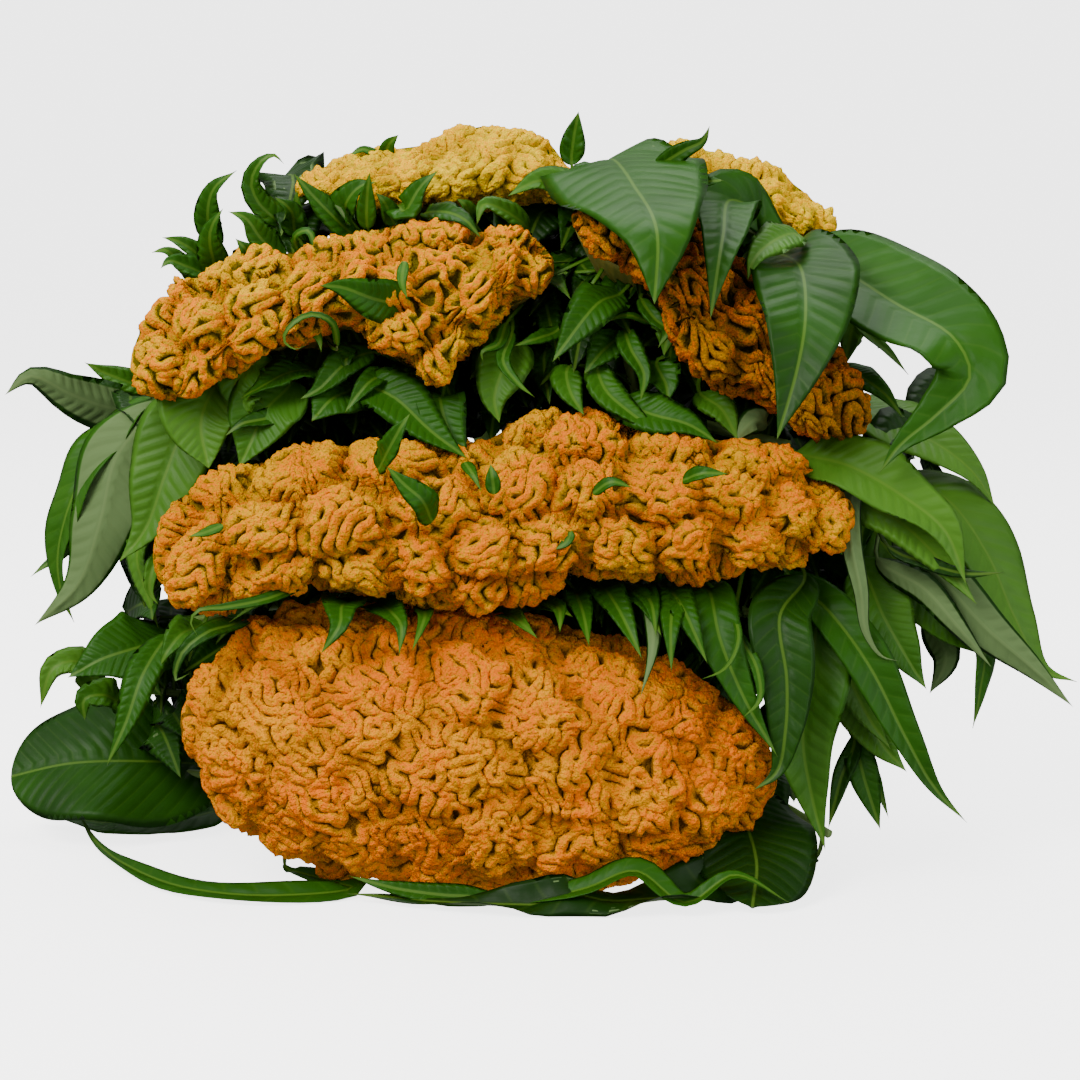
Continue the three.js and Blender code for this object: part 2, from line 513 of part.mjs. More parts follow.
// The main stem runs straight back from the neck of its head, bends down and joins the bundle
const bundle = unit(add(ENDS, TIE, -1));
function stemPath(name) {
  const { place } = STEMS[name];
  const turn = ((place ?? 0) * Math.PI) / 180;
  const away = place === null ? [0, 0, 0] : [RING * Math.cos(turn), 0, RING * Math.sin(turn)];
  const top = add(HEADS[name].neck, [0, -4, 0]);
  const entry = add(add(TIE, bundle, -34), away);
  const bend = add(mix(add(top, [0, 26, 0]), entry, 0.5), [0, 0, -0.1 * (top[2] - entry[2])]);
  return [top, add(top, [0, 26, -3]), bend, entry, add(TIE, away), add(ENDS, away)];
}

// Leaves that are hidden from the front grow round the main stem and at the ends of the shoots,
// spread outwards and droop
function hiddenLeaves(name) {
  const stem = STEMS[name];
  const draw = draws(stem.seed);
  const main = curve(stemPath(name));
  const [first, last] = stem.spread;
  return Array.from({ length: stem.hidden }, (_, i) => {
    const root = main.at(0.07 + (0.5 * (i + 0.6 * draw())) / stem.hidden);
    const turn = ((first + (last - first) * draw()) * Math.PI) / 180;
    const rise = 0.15 + 0.45 * draw();
    const length = 85 + 55 * draw();
    const out = [Math.cos(turn), Math.sin(turn), 0];
    const at = (far, high) => {
      const p = add(add(root, out, far * length), [0, 0, 1], high * length);
      return p.map((v, axis) => (axis === 2 ? Math.max(v, 3) : v));
    };
    const points = [at(0.14, 0.14 * rise), at(0.45, 0.45 * rise), at(0.75, 0.5 * rise - 0.12),
      at(0.98, 0.3 * rise - 0.42)];
    return { root, leaf: [unit(add(out, [0, 0, 1.4])), 26 + 16 * draw(), points] };
  });
}

// The place nearest to a leaf's base where it can grow, no closer than NODE_GAP to another root
const NODE_GAP = 6;
const SHOOT_STEPS = 5;
const SUNK = 0.06;
function rootFor(base, places, used) {
  const free = places.filter((p) => used.every((q) => Math.hypot(...add(p, q, -1)) > NODE_GAP));
  const away = (p) => Math.hypot(...add(p, base, -1));
  const root = free.reduce((a, b) => (away(a) < away(b) ? a : b));
  used.push(root);
  return root;
}

// Where leaves can grow: along the side shoots and on both flanks of the fan, near its rim
function leafPlaces(name) {
  const onFan = fanRings(HEADS[name], 24, 0).slice(1, -1).flatMap((ring) => [0.1, 0.5, 0.9].flatMap((t) => {
    const low = mix(ring[0], ring[1], t);
    const high = mix(ring[2 * FAN_STEPS + 1], ring[2 * FAN_STEPS], t);
    return [mix(low, high, SUNK), mix(high, low, SUNK)];
  }));
  const onShoots = STEMS[name].shoots.flatMap((points) => {
    const path = curve(points);
    return Array.from({ length: 60 }, (_, i) => {
      const s = (0.08 + (0.9 * i) / 59) * SHOOT_STEPS;
      const k = Math.floor(s);
      return mix(path.at(k / SHOOT_STEPS), path.at((k + 1) / SHOOT_STEPS), s - k);
    });
  });
  return [...onShoots, ...onFan];
}

// The bare stem of a leafy stem with its fan and side shoots, fused
function bareStem(name, grow) {
  const shoots = STEMS[name].shoots.map((points) => (
    tube(points, SHOOT + 1 + grow, SHOOT - 1 + grow, 5, SHOOT_STEPS)));
  const fan = loft(fanRings(HEADS[name], HEADS[name].steps[0] / 2, grow));
  return [tube(stemPath(name), STEM + grow, STEM + grow, 8, 11), fan, ...shoots];
}

// All leaves of one stem, each bent clear of its surroundings in turn. A hidden leaf that finds
// no room is left out.
function placeLeaves(name, around) {
  const places = leafPlaces(name);
  const used = [];
  const placed = [];
  for (const leaf of STEMS[name].leaves) {
    const root = leaf[3]?.loose ? null : rootFor(leaf[2][0], places, used);
    placed.push(bentClear(root, leaf, [...around, ...placed.map((other) => other.solid)]));
  }
  for (const { root, leaf } of hiddenLeaves(name)) {
    const found = bentClear(root, leaf, [...around, ...placed.map((other) => other.solid)]);
    if (found.crossed < 2) placed.push(found);
  }
  return placed;
}

// Twine wound round the bundle, with a knot on top and two loose ends
function tie() {
  const inner = RING + STEM + 0.6;
  const turns = Math.round(TIE_WIDTH / TWINE);
  const profile = [new THREE.Vector2(inner, -TIE_WIDTH / 2)];
  for (let i = 0; i < turns; i += 1) {
    const low = -TIE_WIDTH / 2 + (TIE_WIDTH * i) / turns;
    profile.push(new THREE.Vector2(inner + TWINE * 0.45, low + 0.02));
    profile.push(new THREE.Vector2(inner + TWINE, low + TIE_WIDTH / turns / 2));
  }
  profile.push(new THREE.Vector2(inner + TWINE * 0.45, TIE_WIDTH / 2));
  profile.push(new THREE.Vector2(inner, TIE_WIDTH / 2));
  const sides = 16;
  const across = unit(cross(bundle, [0, 0, 1]));
  const up = cross(across, bundle);
  const rings = Array.from({ length: sides }, (_, i) => {
    const turn = (2 * Math.PI * i) / sides;
    const out = add(add([0, 0, 0], across, Math.cos(turn)), up, Math.sin(turn));
    return profile.map((p) => add(add(TIE, out, p.x), bundle, p.y));
  });
  const faces = [];
  const n = profile.length;
  for (let i = 0; i < sides; i += 1) {
    for (let j = 0; j < n; j += 1) {
      const [a, b] = [i * n + j, i * n + ((j + 1) % n)];
      const [c, d] = [((i + 1) % sides) * n + j, ((i + 1) % sides) * n + ((j + 1) % n)];
      faces.push([a, c, d], [a, d, b]);
    }
  }
  const band = closed(rings.flat(), faces);
  const top = add(TIE, up, inner + TWINE);
  const end = (side) => tube([top, add(top, [side * 9, 3, 4]), add(top, [side * 22, 8, -4]),
    add(top, [side * 33, 12, -20])], TWINE * 0.6, TWINE * 0.5, 5, 5);
  const knot = tube([add(top, [-5, 0, 0.5]), add(top, [0, 1, 2]), add(top, [5, 0, 0.5])], TWINE, TWINE, 6, 3);
  return wasm.Manifold.union([band, knot, end(-1), end(1)]);
}

// A piece keeps its largest body; scraps cut loose by a neighbour are left out
function largest(solid) {
  return solid.decompose().reduce((a, b) => (a.volume() > b.volume() ? a : b));
}

function piece(name, solid, look) {
  const { vertProperties, triVerts } = solid.getMesh();
  const geometry = new THREE.BufferGeometry();
  geometry.setAttribute('position', new THREE.BufferAttribute(new Float32Array(vertProperties), 3));
  geometry.setIndex(Array.from(triVerts));
  geometry.computeVertexNormals();
  const { colour: color, roughness } = look;
  const mesh = new THREE.Mesh(geometry, new THREE.MeshStandardMaterial({ color, roughness, metalness: 0 }));
  mesh.name = name;
  return mesh;
}

const NODE_NAMES = {
  low: 'low', middle: 'middle', left: 'left', right: 'right', topLeft: 'top_left', topRight: 'top_right',
};
const bunch = new THREE.Group();
bunch.position.set(-CENTRE[0], -CENTRE[1], 0);

// Crests first. The swollen copy of each piece keeps its neighbours clear of it.
const swollen = {};
for (const [name, head] of Object.entries(HEADS)) {
  const [across, round] = head.steps;
  const solid = crestSolid(head, across, round, 0, true);
  bunch.add(piece(`crest_${NODE_NAMES[name]}`, solid, { colour: head.colour, roughness: 0.85 }));
  swollen[`crest ${name}`] = [crestSolid(head, across, round, CLEAR, false)];
}
const order = ['low', 'middle', 'right', 'topRight', 'left', 'topLeft'];
for (const name of order) swollen[name] = bareStem(name, CLEAR);

// Then the leaves of each stem in turn, which join it, clear of all that is in place
for (const name of order) {
  const around = Object.entries(swollen).flatMap(([owner, solids]) => (owner === name ? [] : solids));
  const leaves = placeLeaves(name, around);
  const whole = wasm.Manifold.union([...bareStem(name, 0), ...leaves.map((leaf) => leaf.solid)]);
  const solid = largest(whole.subtract(wasm.Manifold.union(around)));
  bunch.add(piece(`leafy_stem_${NODE_NAMES[name]}`, solid, GREEN));
  swollen[name].push(...leaves.map(({ root, leaf }) => leafSolid(root, leaf, CLEAR)));
}
bunch.add(piece('twine_tie', tie(), STRAW));

export default bunch;
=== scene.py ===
import math

import bpy
import numpy as np
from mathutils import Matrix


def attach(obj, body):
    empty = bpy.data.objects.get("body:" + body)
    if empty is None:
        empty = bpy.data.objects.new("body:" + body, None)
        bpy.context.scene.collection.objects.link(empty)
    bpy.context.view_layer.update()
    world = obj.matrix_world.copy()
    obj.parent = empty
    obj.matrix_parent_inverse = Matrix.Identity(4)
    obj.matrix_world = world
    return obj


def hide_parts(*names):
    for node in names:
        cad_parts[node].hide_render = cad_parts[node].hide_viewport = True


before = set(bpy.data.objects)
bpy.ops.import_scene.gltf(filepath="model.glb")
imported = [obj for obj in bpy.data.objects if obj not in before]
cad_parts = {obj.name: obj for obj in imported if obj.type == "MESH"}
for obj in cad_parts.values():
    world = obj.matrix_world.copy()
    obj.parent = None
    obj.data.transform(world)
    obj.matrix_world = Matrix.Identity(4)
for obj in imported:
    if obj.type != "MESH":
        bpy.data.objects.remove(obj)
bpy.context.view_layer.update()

# Looks of a bunch of cut cockscomb celosia lying on a surface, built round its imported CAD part.
# Sizes are in millimetres, in the frame in which the bunch was laid out: x to the right, y away
# from the camera, z up. CENTRE is the point of that frame that is the origin of the part.
MM = 0.001
CENTRE = (-12, 213, 0)

# Stems, fans and twine
STEM = 7  # radius of a main stem
SHOOT = 3.6  # radius of a side shoot
SHOOT_PLACES = 60  # places along a side shoot where leaves can grow
RIBS = 5  # lengthwise ribs round a stem
RIB_HEIGHT = 0.05  # height of a rib as a part of the radius
NECK = 7  # half thickness of a fan where it meets its stem
FAN_CELLS = (90, 16)  # points across a fan and from its rim to its neck
PLEAT = 5.5  # width of one pleat of a fan
PLEAT_DEPTH = 0.8
RING = 14.5  # distance of the outer stems from the middle one in the tie
TIE = (-4, 398, 37)  # middle of the tie
ENDS = (-2, 486, 18.3)  # middle of the cut ends
TIE_WIDTH = 16  # length of the twine winding along the stems
TWINE = 3.2  # thickness of one turn of twine
STRANDS = 3  # strands of the twine
TWIST = 9  # length of one twist of the strands in radii of the twine
TURN_CELLS = 60  # points along one turn of twine
TWINE_SIDES = 12

# Leaves
STALK = 2.6  # width of a leaf's stalk
STALK_CELLS = 5
THIN = 0.55  # thickness of a leaf at its midrib
BIG_WIDTH = 34  # leaves wider or longer than these have a finer mesh
BIG_LENGTH = 130
BIG_CELLS = (48, 12)  # points along and across the blade of a big leaf
SMALL_CELLS = (22, 6)  # and of a smaller leaf
INNER_CELLS = (13, 4)  # and of a leaf inside the bunch
RISE_POWER = 0.62  # how the blade widens from its base
POINTED = 1.25  # how it narrows to its tip
FOLD = 12  # degrees by which each half of the blade rises from the midrib
WAVE = 0.08  # height of the waves at the edge as a part of the half width
WAVES = 3  # waves along an edge
CUP = (-0.10, 0.16)  # how far the edges bend down, least and most, as a part of the half width
VEIN_GAP = 5.5  # least distance between side veins
VEINS = 16  # most side veins along a blade
GROOVE = 0.7  # depth of the groove over the midrib
GROOVE_WIDTH = 1.6
FLOOR_GAP = 0.3  # least height of leaves and crests
LEAF_GAP = 6  # least distance between the roots of leaves that show
FILLER_GAP = 2  # the same for leaves inside the bunch
SPACE = (-400, -60, 4)  # lowest corner of the space that leaves inside the bunch take up

# Crests
ROLL = math.radians(115)  # how far a face turns over its upper and lower edge
LOBE_GAP = 40  # least distance between the middles of lobes
LOBE_TRIES = 600
VALLEY = 10  # width of the valley between two lobes
SWELL = 1.5  # how far single lobes stand out or in
NOISE_SIZE = 1024  # cells along a square of noise
NOISE_START = 200  # where on the noise the middle of a face lies
PERIOD = 16  # cells from one rope to the next
BEND = 0.13  # how far ropes bend, in periods
ROPE_TURN = math.radians(110)  # how far round a rope its flank goes
ROPE_RADIUS = 0.532  # radius of a rope as a part of its width
ROPE_HEIGHT = 1.3  # height of a rope as a part of a round one's
GRAIN = 0.5  # height of the grain on the ropes
LEAST_STEP = 0.2  # keeps slopes finite where points of the face nearly meet
LEAST_SLOPE = 0.02  # keeps the way down from jumping on tops and in pits
BACK_CELLS = 6  # points across the plain back

# The camera, 1420 mm in front of the bunch and looking a little down
CAMERA = (0, -1420, 440)
CAMERA_TILT = 80.4
CAMERA_LENS = 85.9

# Directions that the upper side of a leaf faces
FRONT = (0, -1, 0.1)
FRONT_UP = (0, -0.8, 0.6)
UP_FRONT = (0, -0.65, 0.75)
UP = (0, -0.35, 0.95)
LEFT_UP = (-0.6, -0.7, 0.4)
RIGHT_UP = (0.6, -0.7, 0.4)
RIGHT_TOP = (0.35, -0.6, 0.7)
AWAY = (0.1, 0.9, -0.1)

# Each head: the depth of its face before and behind its middle plane y, how far it leans back for
# each millimetre of height, and the neck where its fan narrows to the stem. Then its folds: ridge
# is the distance from rope to rope, share the part of it that a rope takes up, spread how uneven
# the ropes are, lumps how far they swell, and lobe_depth how deep the valleys between lobes are.
# Cells are the points across and round its mesh. The outline has stations (x, lowest z, highest z)
# seen from the front, and lobes are their middles (x, z).
HEADS = {
    "low": {
        "slot": "crest_deep", "y": 15, "front": 60, "rear": 40, "lean": 0.1, "neck": (-30, 165, 74),
        "ridge": 7.3, "share": 0.92, "spread": 0.7, "lumps": 2.0, "lobe_depth": 4.0,
        "cells": (352, 232), "seed": 5,
        "outline": [(-205, 90, 92), (-191, 58, 124), (-165, 30, 146), (-125, 8, 157), (-79, -3, 158),
                    (-28, -8, 156), (23, -6, 143), (68, 3, 128), (103, 22, 109), (124, 38, 89),
                    (136, 58, 62)],
        "lobes": [],
    },
    "middle": {
        "slot": "crest_gold", "y": 20, "front": 50, "rear": 34, "lean": 0.42, "neck": (-20, 160, 176),
        "ridge": 7.6, "share": 0.9, "spread": 0.55, "lumps": 1.2, "lobe_depth": 10.0,
        "cells": (440, 184), "seed": 6,
        "outline": [(-219, 188, 192), (-205, 158, 221), (-171, 161, 237), (-115, 170, 250), (-79, 164, 251),
                    (-40, 159, 250), (-14, 161, 262), (28, 178, 268), (62, 175, 259), (118, 181, 251),
                    (146, 186, 243), (166, 193, 228), (178, 207, 213)],
        "lobes": [(-196, 190), (-158, 205), (-150, 176), (-108, 214), (-98, 180), (-58, 226), (-64, 186),
                  (-32, 196), (-38, 168), (-12, 236), (6, 200), (26, 236), (44, 198), (68, 232), (84, 200),
                  (112, 228), (118, 200), (146, 220), (166, 210)],
    },
    "left": {
        "slot": "crest_orange", "y": 70, "front": 44, "rear": 34, "lean": 0.55, "neck": (-108, 190, 268),
        "ridge": 8.8, "share": 0.74, "spread": 0.45, "lumps": 1.6, "lobe_depth": 11.0,
        "cells": (290, 180), "seed": 7,
        "outline": [(-236, 295, 298), (-225, 273, 323), (-208, 266, 340), (-175, 288, 354),
                    (-138, 303, 358), (-112, 312, 366), (-75, 287, 375), (-60, 281, 375), (-35, 305, 369),
                    (-11, 326, 370), (8, 344, 350)],
        "lobes": [(-220, 296), (-198, 320), (-196, 290), (-166, 334), (-158, 312), (-128, 344), (-104, 350),
                  (-82, 344), (-74, 312), (-56, 352), (-58, 296), (-34, 340), (-14, 352), (2, 346)],
    },
    "right": {
        # The right crest's colours are darkened as painted shade for the leaves' shadow over it.
        "slot": "crest_rust", "y": 62, "front": 42, "rear": 32, "lean": 0.5, "neck": (92, 185, 268),
        "ridge": 8.8, "share": 0.76, "spread": 0.45, "lumps": 1.4, "lobe_depth": 8.0,
        "cells": (230, 160), "seed": 8,
        "outline": [(18, 374, 377), (36, 352, 386), (63, 336, 384), (86, 288, 378), (103, 276, 367),
                    (120, 274, 352), (138, 259, 336), (155, 247, 315), (173, 245, 300), (190, 264, 268)],
        "lobes": [(34, 370), (66, 362), (92, 346), (98, 304), (120, 324), (128, 290), (148, 300),
                  (160, 270), (178, 276)],
    },
    "top_left": {
        "slot": "crest_pale", "y": 152, "front": 34, "rear": 26, "lean": 0.45, "neck": (-55, 250, 340),
        "ridge": 8.4, "share": 0.88, "spread": 0.5, "lumps": 1.0, "lobe_depth": 6.0,
        "cells": (210, 120), "seed": 9,
        "outline": [(-148, 388, 391), (-132, 380, 403), (-100, 377, 413), (-66, 377, 418), (-33, 379, 429),
                    (3, 379, 420), (18, 388, 402), (26, 394, 396)],
        "lobes": [(-136, 390), (-108, 396), (-82, 404), (-52, 402), (-28, 412), (-2, 404), (18, 396)],
    },
    "top_right": {
        "slot": "crest_pale", "y": 160, "front": 34, "rear": 26, "lean": 0.45, "neck": (108, 255, 325),
        "ridge": 8.8, "share": 0.86, "spread": 0.5, "lumps": 1.0, "lobe_depth": 6.0,
        "cells": (150, 120), "seed": 10,
        "outline": [(60, 399, 402), (69, 386, 414), (90, 370, 419), (105, 365, 413), (141, 360, 403),
                    (160, 357, 390), (174, 360, 376), (181, 366, 369)],
        "lobes": [(72, 402), (92, 396), (114, 390), (138, 384), (160, 372), (176, 368)],
    },
}

# Leaves inside the bunch, by stem: how many, and the corners of the space that their tips reach
FILLERS = {
    "low": [(14, (-245, 60, 40), (-195, 120, 120)), (8, (110, 50, 5), (165, 110, 60)),
        (26, (20, 66, 104), (130, 120, 160)), (14, (-185, 50, 130), (-100, 110, 162)),
        (26, (30, 110, 60), (135, 170, 150)), (10, (-175, 112, 108), (-125, 150, 136)),
        (14, (-110, 112, 112), (60, 150, 142))],
    "middle": [(40, (-30, 60, 110), (180, 100, 178)), (16, (-240, 50, 100), (-185, 100, 180)),
        (14, (-180, 40, 150), (-30, 80, 172))],
    "left": [(40, (-185, 50, 245), (-30, 95, 300)), (12, (-236, 80, 200), (-195, 130, 280)),
        (14, (-40, 60, 290), (30, 110, 340)), (18, (-190, 60, 225), (-90, 110, 258)),
        (22, (-30, 110, 240), (40, 170, 330)), (18, (-205, 112, 200), (-125, 150, 240)),
        (10, (-34, 100, 238), (14, 130, 272)), (8, (-110, 112, 214), (-44, 140, 242)),
        (3, (-62, 100, 270), (-34, 130, 296))],
    "right": [(44, (-30, 46, 245), (100, 100, 330)), (34, (100, 60, 70), (235, 120, 250)),
        (12, (150, 40, 120), (235, 80, 240)), (12, (-25, 60, 258), (30, 110, 295)),
        (24, (40, 110, 200), (150, 170, 270))],
    "top_left": [(26, (-160, 112, 335), (10, 150, 364)), (8, (-205, 120, 290), (-165, 150, 322))],
    "top_right": [(26, (10, 110, 330), (80, 160, 362)), (22, (90, 90, 270), (190, 140, 360))],
}

# Each leafy stem: its place round the bundle in degrees (None is the middle), how many hidden
# leaves it has and the directions they take in degrees, and the side shoots that carry leaves
STEMS = {
    "low": {
        "place": 234, "seed": 11, "hidden": 7, "spread": (-10, 190),
        "shoots": [
            [(-29, 192, 72), (-110, 152, 50), (-190, 118, 34), (-222, 120, 34)],
            [(-110, 152, 50), (-180, 140, 72), (-246, 118, 88)],
            [(-26, 196, 68), (70, 150, 40), (140, 104, 22), (172, 62, 12)],
        ],
    },
    "middle": {
        "place": None, "seed": 23, "hidden": 5, "spread": (20, 160),
        "shoots": [
            [(-20, 186, 172), (-100, 130, 148), (-170, 98, 142), (-214, 62, 138)],
            [(-19, 188, 170), (60, 124, 146), (130, 92, 140), (168, 58, 148)],
        ],
    },
    "left": {
        "place": 162, "seed": 37, "hidden": 7, "spread": (95, 205),
        "shoots": [
            [(-108, 214, 262), (-165, 165, 250), (-215, 138, 246), (-232, 112, 236)],
            [(-107, 216, 260), (-62, 150, 262), (-20, 96, 280)],
            [(-165, 165, 250), (-150, 120, 268), (-118, 78, 276)],
            [(-62, 150, 262), (-70, 110, 266), (-72, 76, 270)],
        ],
    },
    "right": {
        "place": 306, "seed": 53, "hidden": 7, "spread": (-25, 85),
        "shoots": [
            [(92, 208, 262), (150, 158, 240), (200, 118, 232), (208, 60, 208)],
            [(150, 158, 240), (184, 110, 236), (190, 62, 222)],
            [(91, 210, 260), (70, 140, 256), (60, 104, 262), (50, 78, 296)],
            [(70, 140, 256), (112, 86, 250), (146, 72, 244)],
        ],
    },
    "top_left": {
        "place": 90, "seed": 71, "hidden": 6, "spread": (80, 200),
        "shoots": [
            [(-56, 274, 334), (-130, 215, 330), (-190, 170, 322), (-212, 150, 326)],
            [(-56, 276, 332), (-60, 190, 334), (-92, 136, 350), (-150, 122, 344)],
            [(-60, 190, 334), (-30, 150, 350), (-24, 126, 360)],
        ],
    },
    "top_right": {
        "place": 18, "seed": 89, "hidden": 6, "spread": (-20, 100),
        "shoots": [
            [(107, 280, 318), (62, 225, 340), (34, 195, 385)],
            [(108, 282, 316), (130, 210, 322), (160, 150, 330), (168, 126, 338)],
            [(62, 225, 340), (24, 180, 365), (26, 134, 378)],
        ],
    },
}

# The leaves that show, by stem: width, how dark a green from 0 to 1, which for leaves that lie in
# shade is partly painted shade, and points from the base to the tip. Then what is out of the
# ordinary: the side that a leaf faces if not FRONT_UP, one that lies loose, and other values than
# FOLD, WAVE, WAVES, or POINTED, where less is blunt.
LEAVES = {}
LEAVES["low"] = [
    (20, 0.2, [(-268, 125, 84), (-281, 112, 106), (-295, 106, 103), (-303, 104, 79)]),
    (21, 0.35, [(-253, 110, 81), (-264, 96, 89), (-274, 92, 87), (-274, 92, 74)]),
    (98, 0.75, [(-188, 140, 32), (-236, 116, 42), (-286, 108, 43), (-324, 112, 34)],
     {"facing": UP_FRONT, "blunt": 0.55, "wave": 0.12, "waves": 2}),
    (26, 0.55, [(-193, 140, 32), (-233, 112, 29), (-262, 104, 25), (-293, 104, 21), (-314, 110, 17)]),
    (36, 0.5, [(-189, 150, 9), (-223, 124, 3), (-265, 116, 3), (-315, 130, 10)], {"facing": UP}),
    (18, 0.6, [(-149, 30, 3), (-106, -16, 3), (-156, -30, 3), (-202, -14, 3), (-243, 32, 3), (-269, 78, 5),
     (-284, 108, 17)], {"facing": UP}),
    (32, 1.0, [(162, 42, 3), (129, 6, 4), (90, -30, 4), (53, -44, 5), (11, -50, 4), (-45, -46, 4),
     (-108, -30, 4)], {"facing": UP, "wave": 0.5}),
    (13, 0.6, [(-22, -38, 3), (-64, -38, 7), (-85, -36, 10), (-107, -32, 15)], {"loose": True}),
    (70, 0.95, [(98, 62, 40), (114, 24, 38), (122, -16, 20), (117, -54, 4)],
     {"facing": UP, "blunt": 0.45, "fold": 5, "wave": 0.14, "waves": 2}),
    (17, 0.45, [(-8, -46, 4), (26, -48, 13), (53, -46, 22), (80, -53, 6), (107, -48, 20), (138, -50, 5)],
     {"facing": UP, "loose": True, "fold": 20}),
]
LEAVES["middle"] = [
    (37, 0.35, [(182, 46, 180), (197, 26, 150), (209, 20, 129), (221, 18, 110)]),
    (28, 0.55, [(142, 46, 174), (165, 16, 155), (186, 0, 127), (205, -8, 90), (223, -10, 59),
     (241, -12, 40)]),
    (37, 0.2, [(176, 36, 135), (184, 20, 104), (195, 15, 80), (210, 12, 63)]),
    (28, 0.2, [(161, 32, 154), (177, 16, 116), (188, 12, 94), (200, 10, 77)]),
    (35, 0.8, [(151, 26, 175), (134, -6, 157), (137, -22, 125), (136, -30, 98), (131, -34, 75),
     (118, -36, 65)]),
    (44, 0.35, [(159, 32, 164), (154, 5, 126), (148, -8, 88), (153, -12, 56), (161, -16, 25)]),
    (11, 0.7, [(181, 24, 82), (172, 11, 59), (165, 7, 31)]),
    (18, 0.5, [(180, 24, 80), (186, 12, 58), (195, 8, 30)]),
    (5, 0.4, [(191, 28, 65), (196, 20, 49), (201, 18, 34)]),
    (26, 0.5, [(93, 36, 170), (96, 2, 168), (100, -18, 147), (113, -32, 116), (131, -38, 85)]),
    (7, 0.5, [(110, -6, 152), (120, -26, 132), (121, -34, 116), (111, -40, 107)]),
    (4, 0.5, [(102, 4, 167), (110, -22, 149), (102, -34, 134), (87, -42, 129)]),
    (16, 0.5, [(55, 36, 168), (58, 2, 170), (62, -14, 166), (64, -30, 151)]),
    (21, 0.5, [(68, 36, 169), (74, 2, 170), (80, -16, 163), (92, -36, 137)]),
    (18, 0.45, [(76, 36, 170), (75, 2, 170), (72, -28, 154), (72, -40, 133)]),
    (12, 0.7, [(63, 36, 168), (62, 2, 168), (62, -32, 144), (55, -44, 120)], {"facing": AWAY}),
    (15, 0.4, [(-7, 36, 156), (5, 4, 162), (18, -24, 161)]),
    (16, 0.45, [(19, 36, 166), (21, 2, 167), (24, -14, 161), (27, -38, 147)]),
    (19, 0.5, [(33, 36, 170), (38, 2, 170), (45, -16, 161), (56, -38, 140)]),
    (16, 0.45, [(46, 36, 169), (52, 2, 169), (58, -8, 167), (67, -30, 151)]),
    (14, 0.3, [(5, 36, 160), (8, 2, 163), (11, -14, 162), (11, -30, 153)]),
    (13, 0.25, [(-23, 36, 154), (-16, 2, 157), (-11, -14, 156), (-1, -32, 150)]),
    (28, 0.5, [(-109, 36, 161), (-109, 2, 164), (-110, -20, 165), (-110, -34, 158), (-120, -38, 143)]),
    (21, 0.45, [(-95, 36, 160), (-88, 2, 162), (-82, -18, 162), (-76, -34, 157), (-77, -42, 143)]),
    (12, 0.35, [(-65, 36, 159), (-65, 2, 160), (-64, -22, 159), (-70, -42, 145)]),
    (7, 0.7, [(-128, 8, 177), (-149, -22, 171), (-173, -34, 168), (-187, -38, 167), (-191, -38, 161),
     (-187, -40, 153)]),
    (5, 0.7, [(-132, 2, 174), (-157, -22, 167), (-171, -30, 159)]),
    (13, 0.8, [(-169, 30, 152), (-172, 0, 152), (-185, -26, 152), (-197, -30, 142), (-201, -32, 127),
     (-193, -34, 131)]),
    (48, 0.6, [(-218, 74, 130), (-234, 50, 128), (-254, 40, 123), (-273, 36, 113)]),
    (21, 0.45, [(-216, 50, 135), (-228, 24, 117), (-236, 14, 93), (-247, 8, 68)]),
    (21, 0.3, [(-195, 48, 143), (-205, 26, 141), (-212, 18, 133), (-216, 16, 125)]),
]
